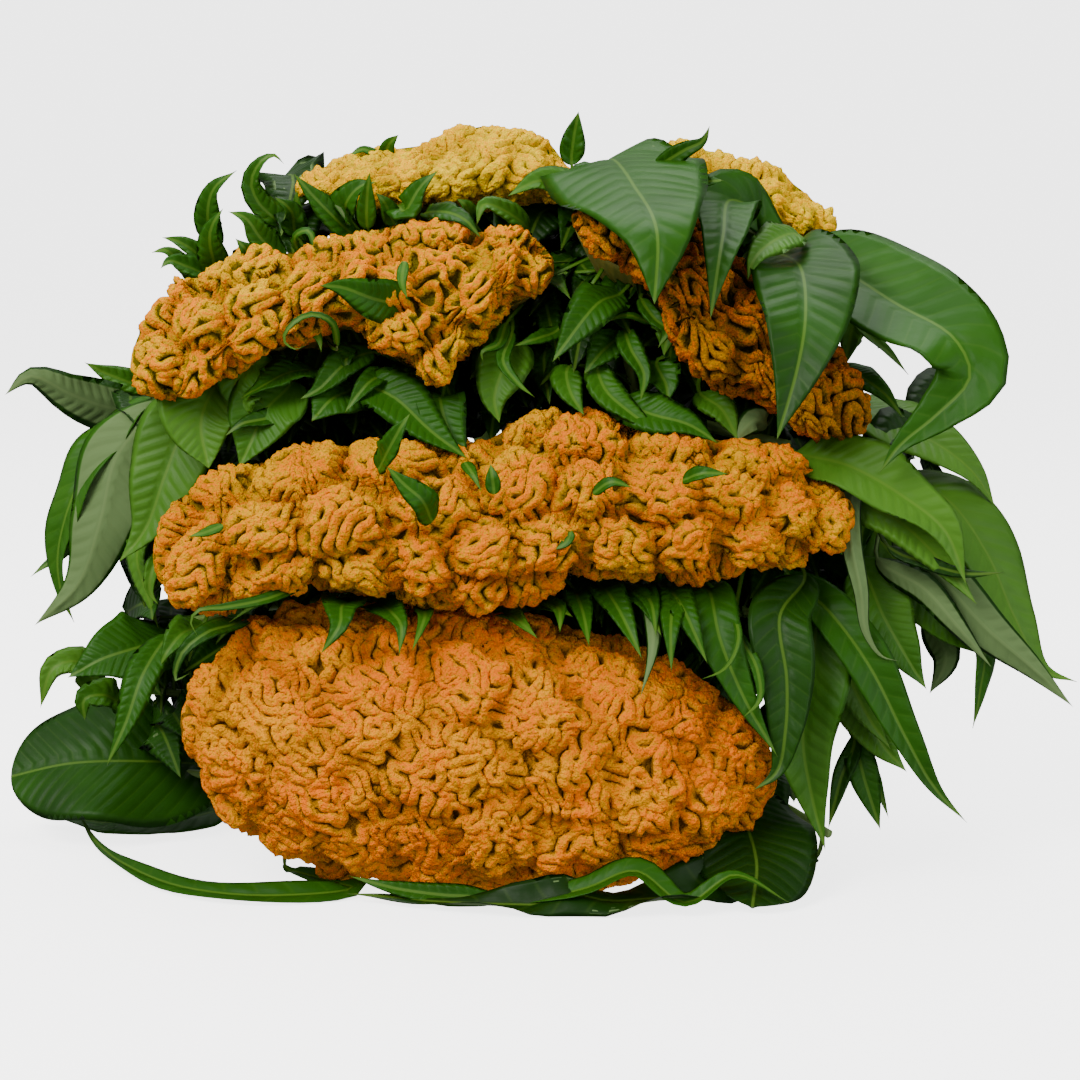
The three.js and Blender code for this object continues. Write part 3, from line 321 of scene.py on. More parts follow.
LEAVES["left"] = [
    (31, 0.8, [(-234, 160, 256), (-259, 142, 257), (-283, 130, 267), (-306, 122, 279), (-321, 118, 268)],
     {"facing": AWAY}),
    (18, 0.3, [(-239, 160, 265), (-254, 152, 273), (-265, 148, 278), (-277, 144, 285)]),
    (34, 0.4, [(-234, 130, 262), (-259, 108, 242), (-277, 96, 212), (-287, 92, 177), (-286, 90, 156),
     (-278, 88, 135)], {"facing": LEFT_UP}),
    (12, 0.4, [(-262, 112, 202), (-275, 106, 188), (-288, 102, 173), (-297, 100, 167), (-305, 98, 161)]),
    (46, 0.4, [(-225, 120, 260), (-250, 92, 235), (-259, 80, 198), (-273, 76, 160), (-299, 74, 136)],
     {"facing": AWAY}),
    (50, 0.25, [(-189, 105, 270), (-206, 82, 257), (-219, 70, 226), (-230, 64, 196), (-246, 62, 176)]),
    (62, 0.2, [(-165, 92, 282), (-186, 66, 280), (-195, 54, 260), (-190, 44, 234)], {"blunt": 1.0}),
    (44, 0.35, [(-143, 64, 282), (-158, 50, 266), (-165, 44, 250), (-172, 40, 235)]),
    (38, 0.3, [(-151, 78, 291), (-167, 62, 292), (-175, 54, 281), (-174, 50, 265)]),
    (14, 0.7, [(-136, 66, 271), (-155, 48, 263), (-170, 42, 260), (-180, 40, 253)]),
    (32, 0.5, [(-128, 70, 287), (-144, 56, 288), (-157, 48, 282), (-171, 46, 274)], {"facing": UP}),
    (36, 0.55, [(-106, 64, 280), (-120, 44, 273), (-130, 37, 262)]),
    (21, 0.6, [(-97, 70, 298), (-112, 52, 293), (-127, 44, 279), (-137, 42, 274)]),
    (14, 0.55, [(-85, 64, 286), (-97, 44, 284), (-111, 36, 267)]),
    (32, 0.55, [(-102, 56, 282), (-82, 38, 275), (-62, 27, 258), (-41, 20, 243)]),
    (28, 0.5, [(-56, 60, 274), (-57, 42, 274), (-52, 32, 258), (-40, 24, 238)]),
    (10, 0.7, [(-110, 66, 300), (-111, 54, 296), (-111, 50, 288)]),
    (25, 0.45, [(-77, 40, 325), (-95, 16, 334), (-110, 11, 340), (-122, 9, 341)], {"facing": FRONT}),
    (4, 0.6, [(-114, 26, 305), (-116, 14, 320), (-127, 8, 325), (-138, 6, 319), (-142, 6, 311),
     (-136, 6, 306), (-130, 6, 308)]),
    (32, 0.25, [(-16, 66, 304), (-22, 48, 289), (-26, 40, 274), (-23, 36, 261)]),
    (8, 0.5, [(-16, 54, 311), (-21, 38, 296), (-12, 30, 284), (-3, 26, 277)]),
    (7, 0.5, [(-19, 60, 316), (-24, 44, 305), (-33, 40, 301), (-32, 40, 295)]),
    (8, 0.3, [(-138, 60, 319), (-126, 44, 309), (-124, 40, 301)]),
    (16, 0.2, [(-229, 84, 201), (-238, 78, 177), (-231, 72, 154), (-225, 70, 135)], {"facing": LEFT_UP}),
    (9, 0.3, [(-220, 70, 185), (-227, 64, 171), (-228, 62, 158), (-223, 60, 151)]),
]
LEAVES["right"] = [
    (29, 0.55, [(47, 76, 332), (33, 52, 328), (18, 40, 311), (7, 34, 296)]),
    (11, 0.5, [(12, 66, 313), (-2, 50, 308), (-15, 46, 304)]),
    (5, 0.5, [(64, 64, 316), (49, 52, 321), (35, 48, 317)]),
    (10, 0.5, [(58, 60, 330), (65, 48, 320), (72, 44, 313), (67, 42, 303)]),
    (18, 0.3, [(72, 70, 312), (73, 54, 313), (71, 50, 298)]),
    (14, 0.5, [(48, 60, 312), (52, 44, 302), (59, 36, 289), (57, 32, 274)]),
    (22, 0.5, [(48, 66, 307), (35, 50, 300), (25, 44, 288)]),
    (19, 0.4, [(17, 60, 291), (17, 42, 279), (25, 32, 266)]),
    (19, 0.4, [(33, 56, 294), (37, 40, 280), (51, 30, 268), (69, 24, 256)]),
    (28, 0.45, [(45, 50, 273), (63, 30, 267), (84, 22, 262), (100, 18, 252)]),
    (23, 0.5, [(67, 56, 294), (72, 42, 282), (73, 38, 273)]),
    (17, 0.9, [(131, 56, 258), (122, 42, 262), (109, 38, 249)], {"facing": AWAY}),
    (20, 0.3, [(92, 60, 276), (104, 44, 268), (113, 38, 251)]),
    (15, 0.4, [(6, 110, 340), (12, 70, 337), (18, 62, 329)]),
    (20, 0.8, [(19, 105, 382), (35, 80, 388), (47, 64, 373), (54, 60, 363)], {"facing": UP_FRONT}),
    (50, 0.15, [(181, 118, 266), (209, 98, 254), (238, 86, 240), (256, 80, 225), (268, 78, 206)],
     {"facing": RIGHT_TOP}),
    (20, 0.55, [(174, 104, 286), (188, 68, 283), (199, 58, 275), (209, 54, 262)]),
    (39, 0.15, [(148, 60, 241), (176, 32, 237), (206, 18, 221), (228, 10, 203), (240, 6, 173)]),
    (28, 0.15, [(175, 42, 217), (203, 24, 207), (226, 14, 186), (247, 10, 161)]),
    (49, 0.2, [(209, 98, 222), (238, 72, 212), (260, 56, 182), (275, 46, 147), (292, 40, 117),
     (311, 38, 110)], {"facing": RIGHT_TOP}),
    (28, 0.85, [(205, 46, 197), (231, 26, 171), (254, 20, 146), (282, 18, 122), (305, 16, 100)],
     {"facing": AWAY}),
    (17, 0.9, [(194, 40, 183), (219, 22, 168), (236, 15, 149), (257, 12, 124)], {"facing": AWAY}),
    (17, 0.5, [(238, 46, 148), (255, 31, 132), (253, 26, 108), (249, 24, 86)], {"facing": RIGHT_UP}),
    (9, 0.9, [(198, 24, 192), (217, 13, 185), (239, 9, 179), (261, 7, 180)]),
    (38, 0.3, [(194, 70, 200), (213, 48, 171), (234, 40, 143), (258, 36, 125)]),
    (19, 0.95, [(228, 66, 144), (237, 52, 121), (227, 46, 101)], {"facing": AWAY}),
    (12, 1.0, [(186, 52, 232), (176, 24, 216), (175, 6, 196), (180, 0, 171), (183, -2, 148), (192, -2, 134),
     (202, -2, 131)], {"facing": AWAY}),
]
LEAVES["top_left"] = [
    (16, 0.5, [(-196, 150, 354), (-200, 142, 370), (-196, 136, 389), (-181, 132, 401)]),
    (18, 0.5, [(-187, 118, 338), (-193, 104, 352), (-193, 98, 367), (-185, 95, 380)]),
    (17, 0.45, [(-148, 150, 352), (-157, 136, 370), (-168, 130, 382), (-172, 128, 394), (-166, 126, 406),
     (-158, 126, 410), (-152, 126, 405)]),
    (15, 0.6, [(-145, 122, 363), (-147, 112, 378), (-156, 108, 386)]),
    (19, 0.4, [(-150, 112, 351), (-163, 102, 361), (-172, 97, 374), (-182, 97, 378)]),
    (14, 0.6, [(-164, 98, 345), (-171, 88, 356), (-177, 86, 363)]),
    (19, 0.5, [(-107, 122, 358), (-118, 108, 371), (-132, 102, 386), (-144, 100, 400)]),
    (12, 0.4, [(-141, 128, 359), (-144, 120, 375), (-144, 117, 390)], {"facing": FRONT}),
    (5, 0.5, [(-141, 104, 354), (-143, 96, 364), (-135, 92, 367), (-131, 88, 356), (-130, 87, 345)]),
    (20, 0.5, [(-112, 116, 372), (-114, 104, 382), (-106, 100, 392), (-96, 99, 395)]),
    (11, 0.45, [(-101, 102, 368), (-101, 96, 385), (-99, 93, 401)], {"facing": FRONT}),
    (12, 0.4, [(-86, 108, 370), (-91, 100, 383), (-96, 98, 389)]),
    (19, 0.5, [(-85, 116, 380), (-78, 94, 379), (-70, 91, 392), (-59, 90, 402)]),
    (14, 0.7, [(-68, 108, 376), (-55, 94, 378), (-44, 87, 374), (-34, 84, 363)]),
    (15, 0.35, [(-7, 116, 366), (-22, 104, 379), (-33, 98, 382), (-37, 95, 370)]),
    (12, 0.4, [(-40, 120, 371), (-44, 112, 381), (-49, 110, 385)]),
    (6, 0.5, [(-95, 158, 405), (-106, 152, 413), (-117, 150, 408)]),
    (9, 0.5, [(-94, 158, 408), (-91, 152, 416), (-85, 150, 422)], {"facing": FRONT}),
    (14, 0.35, [(-205, 140, 334), (-215, 128, 347), (-223, 122, 354), (-231, 120, 353)]),
    (16, 0.5, [(-201, 130, 339), (-211, 120, 345), (-220, 116, 348), (-225, 114, 344)]),
    (12, 0.4, [(-203, 150, 345), (-212, 142, 355), (-220, 140, 359), (-227, 138, 361)]),
]
LEAVES["top_right"] = [
    (94, 0.6, [(37, 170, 398), (42, 132, 408), (53, 56, 395), (64, -6, 370), (62, -22, 333)],
     {"fold": 2, "blunt": 1.1}),
    (15, 0.5, [(19, 140, 404), (20, 138, 419), (23, 136, 436)], {"facing": FRONT}),
    (11, 0.7, [(67, 100, 403), (84, 88, 414), (94, 86, 419), (98, 85, 428)], {"facing": FRONT}),
    (14, 0.6, [(81, 85, 388), (92, 74, 395), (105, 68, 397)]),
    (38, 0.65, [(128, 122, 357), (126, 100, 378), (111, 88, 385), (103, 38, 367), (98, 14, 346),
     (94, 2, 323)]),
    (24, 0.3, [(151, 90, 365), (132, 60, 362), (121, 45, 353), (117, 38, 342)]),
    (62, 0.75, [(139, 110, 352), (149, 62, 348), (148, 18, 322), (142, -2, 296), (130, -16, 258)]),
    (66, 0.5, [(152, 132, 340), (174, 100, 344), (206, 66, 326), (234, 30, 309), (241, 20, 289),
     (222, 16, 268), (202, 12, 252), (190, 10, 236)], {"fold": 10}),
    (36, 0.35, [(172, 138, 350), (182, 108, 345), (192, 99, 330), (199, 92, 313)]),
    (12, 0.3, [(173, 95, 324), (191, 80, 308), (205, 74, 295), (214, 72, 285)], {"facing": RIGHT_UP}),
    (19, 0.3, [(190, 105, 329), (183, 92, 309), (179, 88, 288)]),
    (26, 0.3, [(37, 120, 375), (19, 104, 390), (0, 98, 396), (-19, 94, 387)]),
    (7, 0.5, [(3, 160, 406), (1, 156, 414), (-2, 154, 420)], {"facing": FRONT}),
]
STRAY_LEAVES = [
    (15, 0.5, [(-90, 0, 239), (-82, -14, 255), (-77, -16, 264), (-71, -16, 273)]),
    (17, 0.5, [(-59, -30, 215), (-64, -42, 229), (-73, -42, 237), (-83, -40, 247)]),
    (7, 0.4, [(-42, 4, 243), (-36, -20, 238), (-32, -26, 231)]),
    (8, 0.5, [(-25, -28, 230), (-26, -28, 239), (-27, -24, 246)], {"facing": FRONT}),
    (9, 0.5, [(78, -26, 237), (87, -34, 242), (102, -34, 242)]),
    (7, 0.5, [(29, -32, 231), (39, -38, 238), (50, -38, 235)]),
    (6, 0.5, [(17, -30, 210), (14, -34, 204), (8, -34, 200)]),
    (6, 0.4, [(-174, -24, 212), (-183, -30, 209), (-192, -32, 207)]),
    (6, 0.4, [(-75, 14, 354), (-76, 4, 343), (-73, 2, 334)]),
]


def length(vectors):
    """Lengths of vectors along the last axis: |v|."""
    return np.linalg.norm(vectors, axis=-1)


def unit(vectors):
    """Vectors of length 1 along the last axis: v / |v|."""
    vectors = np.asarray(vectors, float)
    return vectors / np.maximum(length(vectors), 1e-9)[..., None]


def smooth(low, high, value):
    """0 below low, 1 above high, and t * t * (3 - 2t) between them."""
    t = np.clip((value - low) / (high - low), 0, 1)
    return t * t * (3 - 2 * t)


def monotone(x, xs, ys):
    """Cubic through (xs, ys) without overshoot: Hermite with harmonic mean slopes."""
    xs = np.asarray(xs, float)
    ys = np.asarray(ys, float)
    gaps = np.diff(xs)
    slopes = np.diff(ys) / gaps
    product = slopes[:-1] * slopes[1:]
    total = np.where(product > 0, slopes[:-1] + slopes[1:], 1)
    inner = np.where(product > 0, 2 * product / total, 0)
    tangents = np.concatenate([slopes[:1], inner, slopes[-1:]])
    k = np.clip(np.searchsorted(xs, x) - 1, 0, len(xs) - 2)
    h = gaps[k]
    t = (x - xs[k]) / h
    return ((1 + 2 * t) * (1 - t) ** 2 * ys[k] + t * (1 - t) ** 2 * h * tangents[k]
            + t * t * (3 - 2 * t) * ys[k + 1] + t * t * (t - 1) * h * tangents[k + 1])


class Path:
    """A centripetal Catmull-Rom curve through points, read by its share of the length."""

    def __init__(self, points, fine=24):
        """Hermite segments p1 to p2 with tangents from gaps d = sqrt(|p2 - p1|), cut fine times."""
        p = np.asarray(points, float)
        p = np.vstack([2 * p[0] - p[1], p, 2 * p[-1] - p[-2]])
        d = np.maximum(np.sqrt(length(np.diff(p, axis=0))), 1e-3)[:, None]
        p0, p1, p2, p3 = p[:-3], p[1:-2], p[2:-1], p[3:]
        d0, d1, d2 = d[:-2], d[1:-1], d[2:]
        m1 = ((p1 - p0) / d0 - (p2 - p0) / (d0 + d1) + (p2 - p1) / d1) * d1
        m2 = ((p2 - p1) / d1 - (p3 - p1) / (d1 + d2) + (p3 - p2) / d2) * d1
        t = np.linspace(0, 1, fine, endpoint=False)[None, :, None]
        a, b, m1, m2 = p1[:, None], p2[:, None], m1[:, None], m2[:, None]
        curve = (a + m1 * t + (3 * b - 3 * a - 2 * m1 - m2) * t ** 2
                 + (2 * a - 2 * b + m1 + m2) * t ** 3)
        self.points = np.vstack([curve.reshape(-1, 3), p[-2]])
        reached = walked(self.points)
        self.length = reached[-1]
        self.shares = reached / self.length
        self.knot = self.shares[fine]

    def at(self, share):
        """Points at shares of the length from 0 to 1."""
        return np.stack([np.interp(share, self.shares, self.points[:, k]) for k in range(3)], axis=-1)

    def along(self, share, reach=0.02):
        """Directions at shares of the length, from the points a little before and after."""
        return unit(self.at(np.minimum(share + reach, 1)) - self.at(np.maximum(share - reach, 0)))


def walked(points):
    """Length along a line of points up to each of them: 0, then the sum of |step|."""
    return np.append(0, np.cumsum(length(np.diff(points, axis=0))))


def skin(rings):
    """Points and four-cornered faces of a closed surface over rings (n, m, 3) with m even: tube
    walls between the rings, and a ladder of faces over each end. Faces point outwards."""
    n, m = rings.shape[:2]
    points = rings.reshape(-1, 3)
    i, j = np.meshgrid(np.arange(n - 1), np.arange(m), indexing="ij")
    a = i * m + j
    b = i * m + (j + 1) % m
    walls = np.stack([a, a + m, b + m, b], axis=-1).reshape(-1, 4)
    k = np.arange(m // 2 - 1)
    first = np.stack([k, k + 1, m - 2 - k, m - 1 - k], axis=-1)
    last = first[:, ::-1] + (n - 1) * m
    faces = np.vstack([walls, first, last])
    middle = points.mean(axis=0)
    corners = points[faces] - middle
    volume = np.einsum("ij,ij->", np.cross(corners[:, 0], corners[:, 1]), corners[:, 2])
    volume += np.einsum("ij,ij->", np.cross(corners[:, 0], corners[:, 2]), corners[:, 3])
    return points, faces if volume > 0 else faces[:, ::-1]


class Shape:
    """Closed surfaces gathered into one mesh, each point with two triples of data for its paint."""

    def __init__(self):
        self.points = []
        self.faces = []
        self.data = {"first": [], "second": []}
        self.count = 0

    def add(self, rings, first, second=(0, 0, 0)):
        """Adds the skin over rings. first and second are (n, m, 3) data or one triple."""
        points, faces = skin(rings)
        self.points.append(points)
        self.faces.append(faces + self.count)
        for label, values in (("first", first), ("second", second)):
            self.data[label].append(np.broadcast_to(np.asarray(values, float), rings.shape).reshape(-1, 3))
        self.count += len(points)

    def mesh(self, name, material):
        """The gathered surfaces as an object in the part's frame, in metres."""
        points = (np.vstack(self.points) - CENTRE) * MM
        faces = np.vstack(self.faces)
        data = bpy.data.meshes.new(name)
        data.vertices.add(len(points))
        data.vertices.foreach_set("co", points.astype(np.float32).ravel())
        data.loops.add(faces.size)
        data.loops.foreach_set("vertex_index", faces.astype(np.int32).ravel())
        data.polygons.add(len(faces))
        data.polygons.foreach_set("loop_start", np.arange(0, faces.size, 4, dtype=np.int32))
        data.update(calc_edges=True)
        data.validate()
        data.shade_smooth()
        for label, values in self.data.items():
            layer = data.attributes.new(label, "FLOAT_VECTOR", "POINT")
            layer.data.foreach_set("vector", np.vstack(values).astype(np.float32).ravel())
        data.materials.append(material)
        obj = bpy.data.objects.new(name, data)
        bpy.context.scene.collection.objects.link(obj)
        return obj


def grid_normals(points):
    """Unit normals of an open grid (n, m, 3): the cross product of its two differences."""
    return unit(np.cross(np.gradient(points, axis=0), np.gradient(points, axis=1)))


def waves(period, seed):
    """A periodic square of smooth noise with spread 1: white noise blurred by exp(-1.5 k^2)."""
    rng = np.random.default_rng(seed)
    k = np.fft.fftfreq(NOISE_SIZE)[:, None] * period
    q = np.fft.rfftfreq(NOISE_SIZE)[None, :] * period
    hat = np.fft.rfft2(rng.standard_normal((NOISE_SIZE, NOISE_SIZE))) * np.exp(-1.5 * (k * k + q * q))
    field = np.fft.irfft2(hat, s=(NOISE_SIZE, NOISE_SIZE))
    return field / field.std()


def meander(seed, spread):
    """Three periodic squares f, u, v for ropes a period apart that wind along the zero lines of
    noise: f has waves near two periods, exp(-((k - 1) / spread)^2), and u, v are its slopes / k."""
    rng = np.random.default_rng(seed)
    k = np.fft.fftfreq(NOISE_SIZE)[:, None] * 2 * PERIOD
    q = np.fft.rfftfreq(NOISE_SIZE)[None, :] * 2 * PERIOD
    hat = np.fft.rfft2(rng.standard_normal((NOISE_SIZE, NOISE_SIZE)))
    hat = hat * np.exp(-((np.hypot(k, q) - 1) / spread) ** 2)
    return [np.fft.irfft2(hat * part, s=(NOISE_SIZE, NOISE_SIZE)) for part in (1, 1j * k, 1j * q)]


def sample(field, a, b):
    """Values of a periodic square at places (a, b) in cells, mixed from the four nearest."""
    size = len(field)
    i = np.floor(a).astype(int)
    j = np.floor(b).astype(int)
    s, t = a - i, b - j
    i0, i1, j0, j1 = i % size, (i + 1) % size, j % size, (j + 1) % size
    return ((1 - s) * ((1 - t) * field[i0, j0] + t * field[i0, j1])
            + s * ((1 - t) * field[i1, j0] + t * field[i1, j1]))


def head_sides(count):
    """Places across a head from -1 to 1, closer together at both ends: 0.55 w + 0.45 sin(90 w) in
    degrees for even steps w, and 1 - |w|, which is 0 at the ends."""
    w = np.linspace(-1, 1, count)[:, None]
    return 0.55 * w + 0.45 * np.sin(np.pi / 2 * w), 1 - np.abs(w)


def head_rows(head, side):
    """x, middle height, half height and depth of a head at places side from -1 to 1 across. The
    depth is 0.03 + 0.97 sqrt(1 - |side|^3.2), and the half height at least 1.5."""
    xs, low, high = np.array(head["outline"], float).T
    x = (xs[0] + xs[-1]) / 2 + (xs[-1] - xs[0]) / 2 * side
    tall = np.sqrt(np.maximum(monotone(x, xs, ((high - low) / 2) ** 2), 1.5 ** 2))
    deep = 0.03 + 0.97 * np.sqrt(np.maximum(1 - np.abs(side) ** 3.2, 0))
    return x, monotone(x, xs, (low + high) / 2), tall, deep


def head_points(head, side, turn):
    """Points of a head's smooth face: y - deep * reach * cos(turn) + lean * tall * sin(turn) and
    mid + tall * sin(turn), with the front reach where cos(turn) is above 0."""
    x, mid, tall, deep = head_rows(head, side)
    reach = np.where(np.cos(turn) > 0, head["front"], head["rear"])
    rise = tall * np.sin(turn)
    return np.stack([x + 0 * turn, head["y"] - deep * reach * np.cos(turn) + head["lean"] * rise,
                     mid + rise], axis=-1)


def lobe_valleys(face, head, rng):
    """How deep the valleys between lobes are, 0 to 1: exp(-((second nearest - nearest) / VALLEY)^2)
    over the distances to the middles of the lobes, and which lobe is nearest."""
    nx, nt = face.shape[:2]
    spots = []
    for x, z in head["lobes"]:
        front = face[:, nt // 5:nt - nt // 5]
        away = (front[..., 0] - x) ** 2 + (front[..., 2] - z) ** 2
        spots.append(front.reshape(-1, 3)[away.argmin()])
    for _ in range(LOBE_TRIES):
        spot = face[rng.integers(nx), rng.integers(nt)]
        if all(length(spot - other) > LOBE_GAP for other in spots):
            spots.append(spot)
    away = np.array([length(face - spot) for spot in spots])
    nearest, second = np.partition(away, 1, axis=0)[:2]
    return np.exp(-((second - nearest) / VALLEY) ** 2), away.argmin(axis=0), len(spots)


def crest(name):
    """A folded crest. The smooth face sinks between its lobes, then each point moves along the
    normal and sideways, so that round ropes wind along the zero lines of f: with the phase
    2 atan(|f| / |slope of f|), which is 0 on a line and pi midway between two, d = phase / pi share
    up to 1, q = ROPE_TURN d and r = ROPE_RADIUS ridge share, by ROPE_HEIGHT r (cos(q) - 1) + 1 and
    r sin(q) - ridge share d / 2. Data: height in the folds, tone, valley."""
    head = HEADS[name]
    seed = head["seed"]
    rng = np.random.default_rng(seed)
    nx, nt = head["cells"]
    middle = nt // 2
    side, inside = head_sides(nx)
    t = np.linspace(-1, 1, nt)[None, :]
    turn = ROLL * (0.72 * t + 0.28 * t ** 5)
    face = head_points(head, side, turn)
    normal = grid_normals(face)
    if normal[nx // 2, middle, 1] > 0:
        normal = -normal
    valley, owner, count = lobe_valleys(face, head, rng)
    ends = smooth(0, 0.12, inside) * smooth(0, 0.1, 1 - np.abs(turn) / ROLL)
    swell = rng.uniform(-SWELL, SWELL, count)[owner] * (1 - valley)
    face = face + normal * ((swell - head["lobe_depth"] * valley) * ends)[..., None]
    sunk = grid_normals(face)
    normal = sunk * np.sign(np.sum(sunk * normal, axis=-1, keepdims=True))

    s = walked(face[:, middle])[:, None]
    t = np.hstack([np.zeros((nx, 1)), np.cumsum(length(np.diff(face, axis=1)), axis=1)])
    t = t - t[:, middle:middle + 1] + NOISE_START
    scale = PERIOD / head["ridge"]
    a, b = s * scale, t * scale
    bends = [sample(waves(PERIOD * 2, seed + 20 + k) * PERIOD * BEND, a, b) for k in range(2)]
    a, b = a + bends[0], b + bends[1]
    f, u, v = [sample(part, a, b) for part in meander(seed + 3, head["spread"])]
    phase = 2 * np.arctan2(np.abs(f), np.hypot(u, v))
    level = np.cos(phase)
    slope_s = np.gradient(level, axis=0) / np.maximum(np.gradient(s, axis=0), LEAST_STEP)
    slope_t = np.gradient(level, axis=1) / np.maximum(np.gradient(t, axis=1), LEAST_STEP)
    steep = np.sqrt(slope_s ** 2 + slope_t ** 2) + LEAST_SLOPE
    downhill = -(unit(np.gradient(face, axis=0)) * (slope_s / steep)[..., None]
                 + unit(np.gradient(face, axis=1)) * (slope_t / steep)[..., None])

    rope = head["ridge"] * head["share"]
    radius = ROPE_RADIUS * head["ridge"] * head["share"]
    down = np.minimum(phase / (np.pi * head["share"]), 1)
    lift = ROPE_HEIGHT * radius * (np.cos(ROPE_TURN * down) - 1) + 1
    shift = radius * np.sin(ROPE_TURN * down) - rope * down / 2
    height = 1 - down
    widths = (3, 4), (0.3, 5), (1.1, 7), (6, 6)  # in ropes, and what is added to the seed
    lumps, fine, coarse, tone = [sample(waves(part * PERIOD, seed + k), a, b) for part, k in widths]
    fade = ends ** 0.5
    lift = lift + head["lumps"] * lumps + GRAIN * (fine + 1.6 * coarse) * height
    raised = face + normal * (lift * fade)[..., None] + downhill * (shift * fade)[..., None]
    raised[..., 2] = np.maximum(raised[..., 2], FLOOR_GAP)
    backs = np.linspace(0, 1, BACK_CELLS + 2)[1:-1][None, :, None]
    rings = np.hstack([raised, raised[:, -1:] + (raised[:, :1] - raised[:, -1:]) * backs])
    data = np.zeros(rings.shape)
    data[:, :nt] = np.stack([height, tone, valley], axis=-1)
    data[:, nt:, 0] = 0.1
    shape = Shape()
    shape.add(rings, data)
    return shape


def fan(name, shape):
    """The flattened stem behind a crest: from the rim to the neck, share q, half thickness
    NECK + (half - NECK) (1 - q)^1.5, drawn in to the neck across by q^1.15, with fine pleats.
    Data: share q, pleat, 0. Gives back the places where leaves can grow."""
    head = HEADS[name]
    neck = head["neck"]
    nx, nq = FAN_CELLS
    side, inside = head_sides(nx)
    x, mid, _, _ = head_rows(head, side)
    half_width = (head["outline"][-1][0] - head["outline"][0][0]) / 2
    q = np.linspace(0, 1, nq)[None, :]
    flanks = []
    for turn in (-ROLL, ROLL):
        rim = head_points(head, side, np.array([[turn]]))
        up = math.copysign(1, turn)
        half = np.maximum((rim[..., 2] - mid) * up - 0.5, 1)
        pleat = PLEAT_DEPTH * np.cos(2 * np.pi * x / PLEAT + up) * np.sin(np.pi * q) ** 0.7
        thick = NECK + (half - NECK) * (1 - q) ** 1.5 + pleat * smooth(0, 0.2, inside)
        close_x = neck[0] + (rim[..., 0] - neck[0]) * NECK / half_width
        flanks.append(np.stack([rim[..., 0] + (close_x - rim[..., 0]) * q ** 1.15,
                                rim[..., 1] + (neck[1] - rim[..., 1]) * q + 1.2,
                                np.maximum(mid + (neck[2] - mid) * q + up * thick, 0)], axis=-1))
    rings = np.hstack([flanks[0], flanks[1][:, ::-1]])
    data = np.zeros(rings.shape)
    data[..., 0] = np.hstack([q, q[:, ::-1]])
    data[..., 1] = 0.5 + 0.5 * np.cos(2 * np.pi * rings[..., 0] / PLEAT)
    shape.add(rings, data)
    return np.vstack([flank[::5, 2:-2].reshape(-1, 3) for flank in flanks])


def round_rings(points, along, upright, radius, turn):
    """Rings round a line: point + radius (cos(turn) across + sin(turn) lifted), across at right
    angles to the line and to upright, lifted at right angles to the line and across."""
    across = unit(np.cross(along, upright))
    lifted = np.cross(across, along)
    return (points[:, None] + across[:, None] * (radius * np.cos(turn))[..., None]
            + lifted[:, None] * (radius * np.sin(turn))[..., None])


def tube(shape, points, start, end, sides=12, steps=30, upright=(0.1, 0.05, 1)):
    """A stem along points, its radius going from start to end, with low lengthwise ribs:
    radius (1 + RIB_HEIGHT cos(RIBS turn)); kept above the floor. Data: share, rib, 1."""
    path = Path(points)
    s = np.linspace(0, 1, steps)[:, None]
    turn = 2 * np.pi * (np.arange(sides) + 0.5) / sides
    rib = np.cos(RIBS * turn + 0.6)
    radius = (start + (end - start) * s) * (1 + RIB_HEIGHT * rib)
    rings = round_rings(path.at(s[:, 0]), path.along(s[:, 0]), upright, radius, turn)
    rings[..., 2] = np.maximum(rings[..., 2], 0)
    data = np.ones(rings.shape)
    data[..., 0] = s
    data[..., 1] = 0.5 + 0.5 * rib
    shape.add(rings, data)
    return path


def stem_path(name):
    """Points of a main stem: straight back from the neck, down in a bend and into the bundle."""
    place = STEMS[name]["place"]
    turn = math.radians(place or 0)
    away = np.zeros(3) if place is None else RING * np.array([math.cos(turn), 0, math.sin(turn)])
    tie, ends = np.array(TIE, float), np.array(ENDS, float)
    top = np.array(HEADS[name]["neck"]) + (0, -4, 0)
    entry = tie - 34 * unit(ends - tie) + away
    bend = (top + (0, 26, 0) + entry) / 2 - (0, 0, 0.1 * (top[2] - entry[2]))
    return np.array([top, top + (0, 26, -3), bend, entry, tie + away, ends + away])


def filler_leaves(name, rng):
    """Leaves that fill the inside: each tip at random in its space, its base further back, and a random
    tint, darker than outside as painted shade.
    """
    rows = []
    for count, low, high in FILLERS[name]:
        for _ in range(count):
            tip = rng.uniform(low, high)
            base = tip + (rng.uniform(-34, 34), rng.uniform(40, 85), rng.uniform(-10, 34))
            middle = (base + tip) / 2 + (rng.uniform(-8, 8), 0, rng.uniform(4, 18))
            how = {"facing": unit((rng.uniform(-0.5, 0.5), -0.8, rng.uniform(0.2, 0.9))),
                   "fold": rng.uniform(8, 24), "wave": rng.uniform(0.05, 0.2)}
            width = rng.uniform(20, 36) + 12 * (low[1] > 100)
            # Tints from 0.6 to 1.1, darker than the leaves outside: painted shade inside the bunch.
            rows.append((width, rng.uniform(0.6, 1.1), np.maximum([base, middle, tip], SPACE), how))
    return rows


class Draws:
    """Seeded draws between 0 and 1: state = (1664525 state + 1013904223) mod 2^32."""

    def __init__(self, seed):
        self.state = seed

    def next(self):
        """The next draw."""
        self.state = (self.state * 1664525 + 1013904223) % 2 ** 32
        return self.state / 2 ** 32


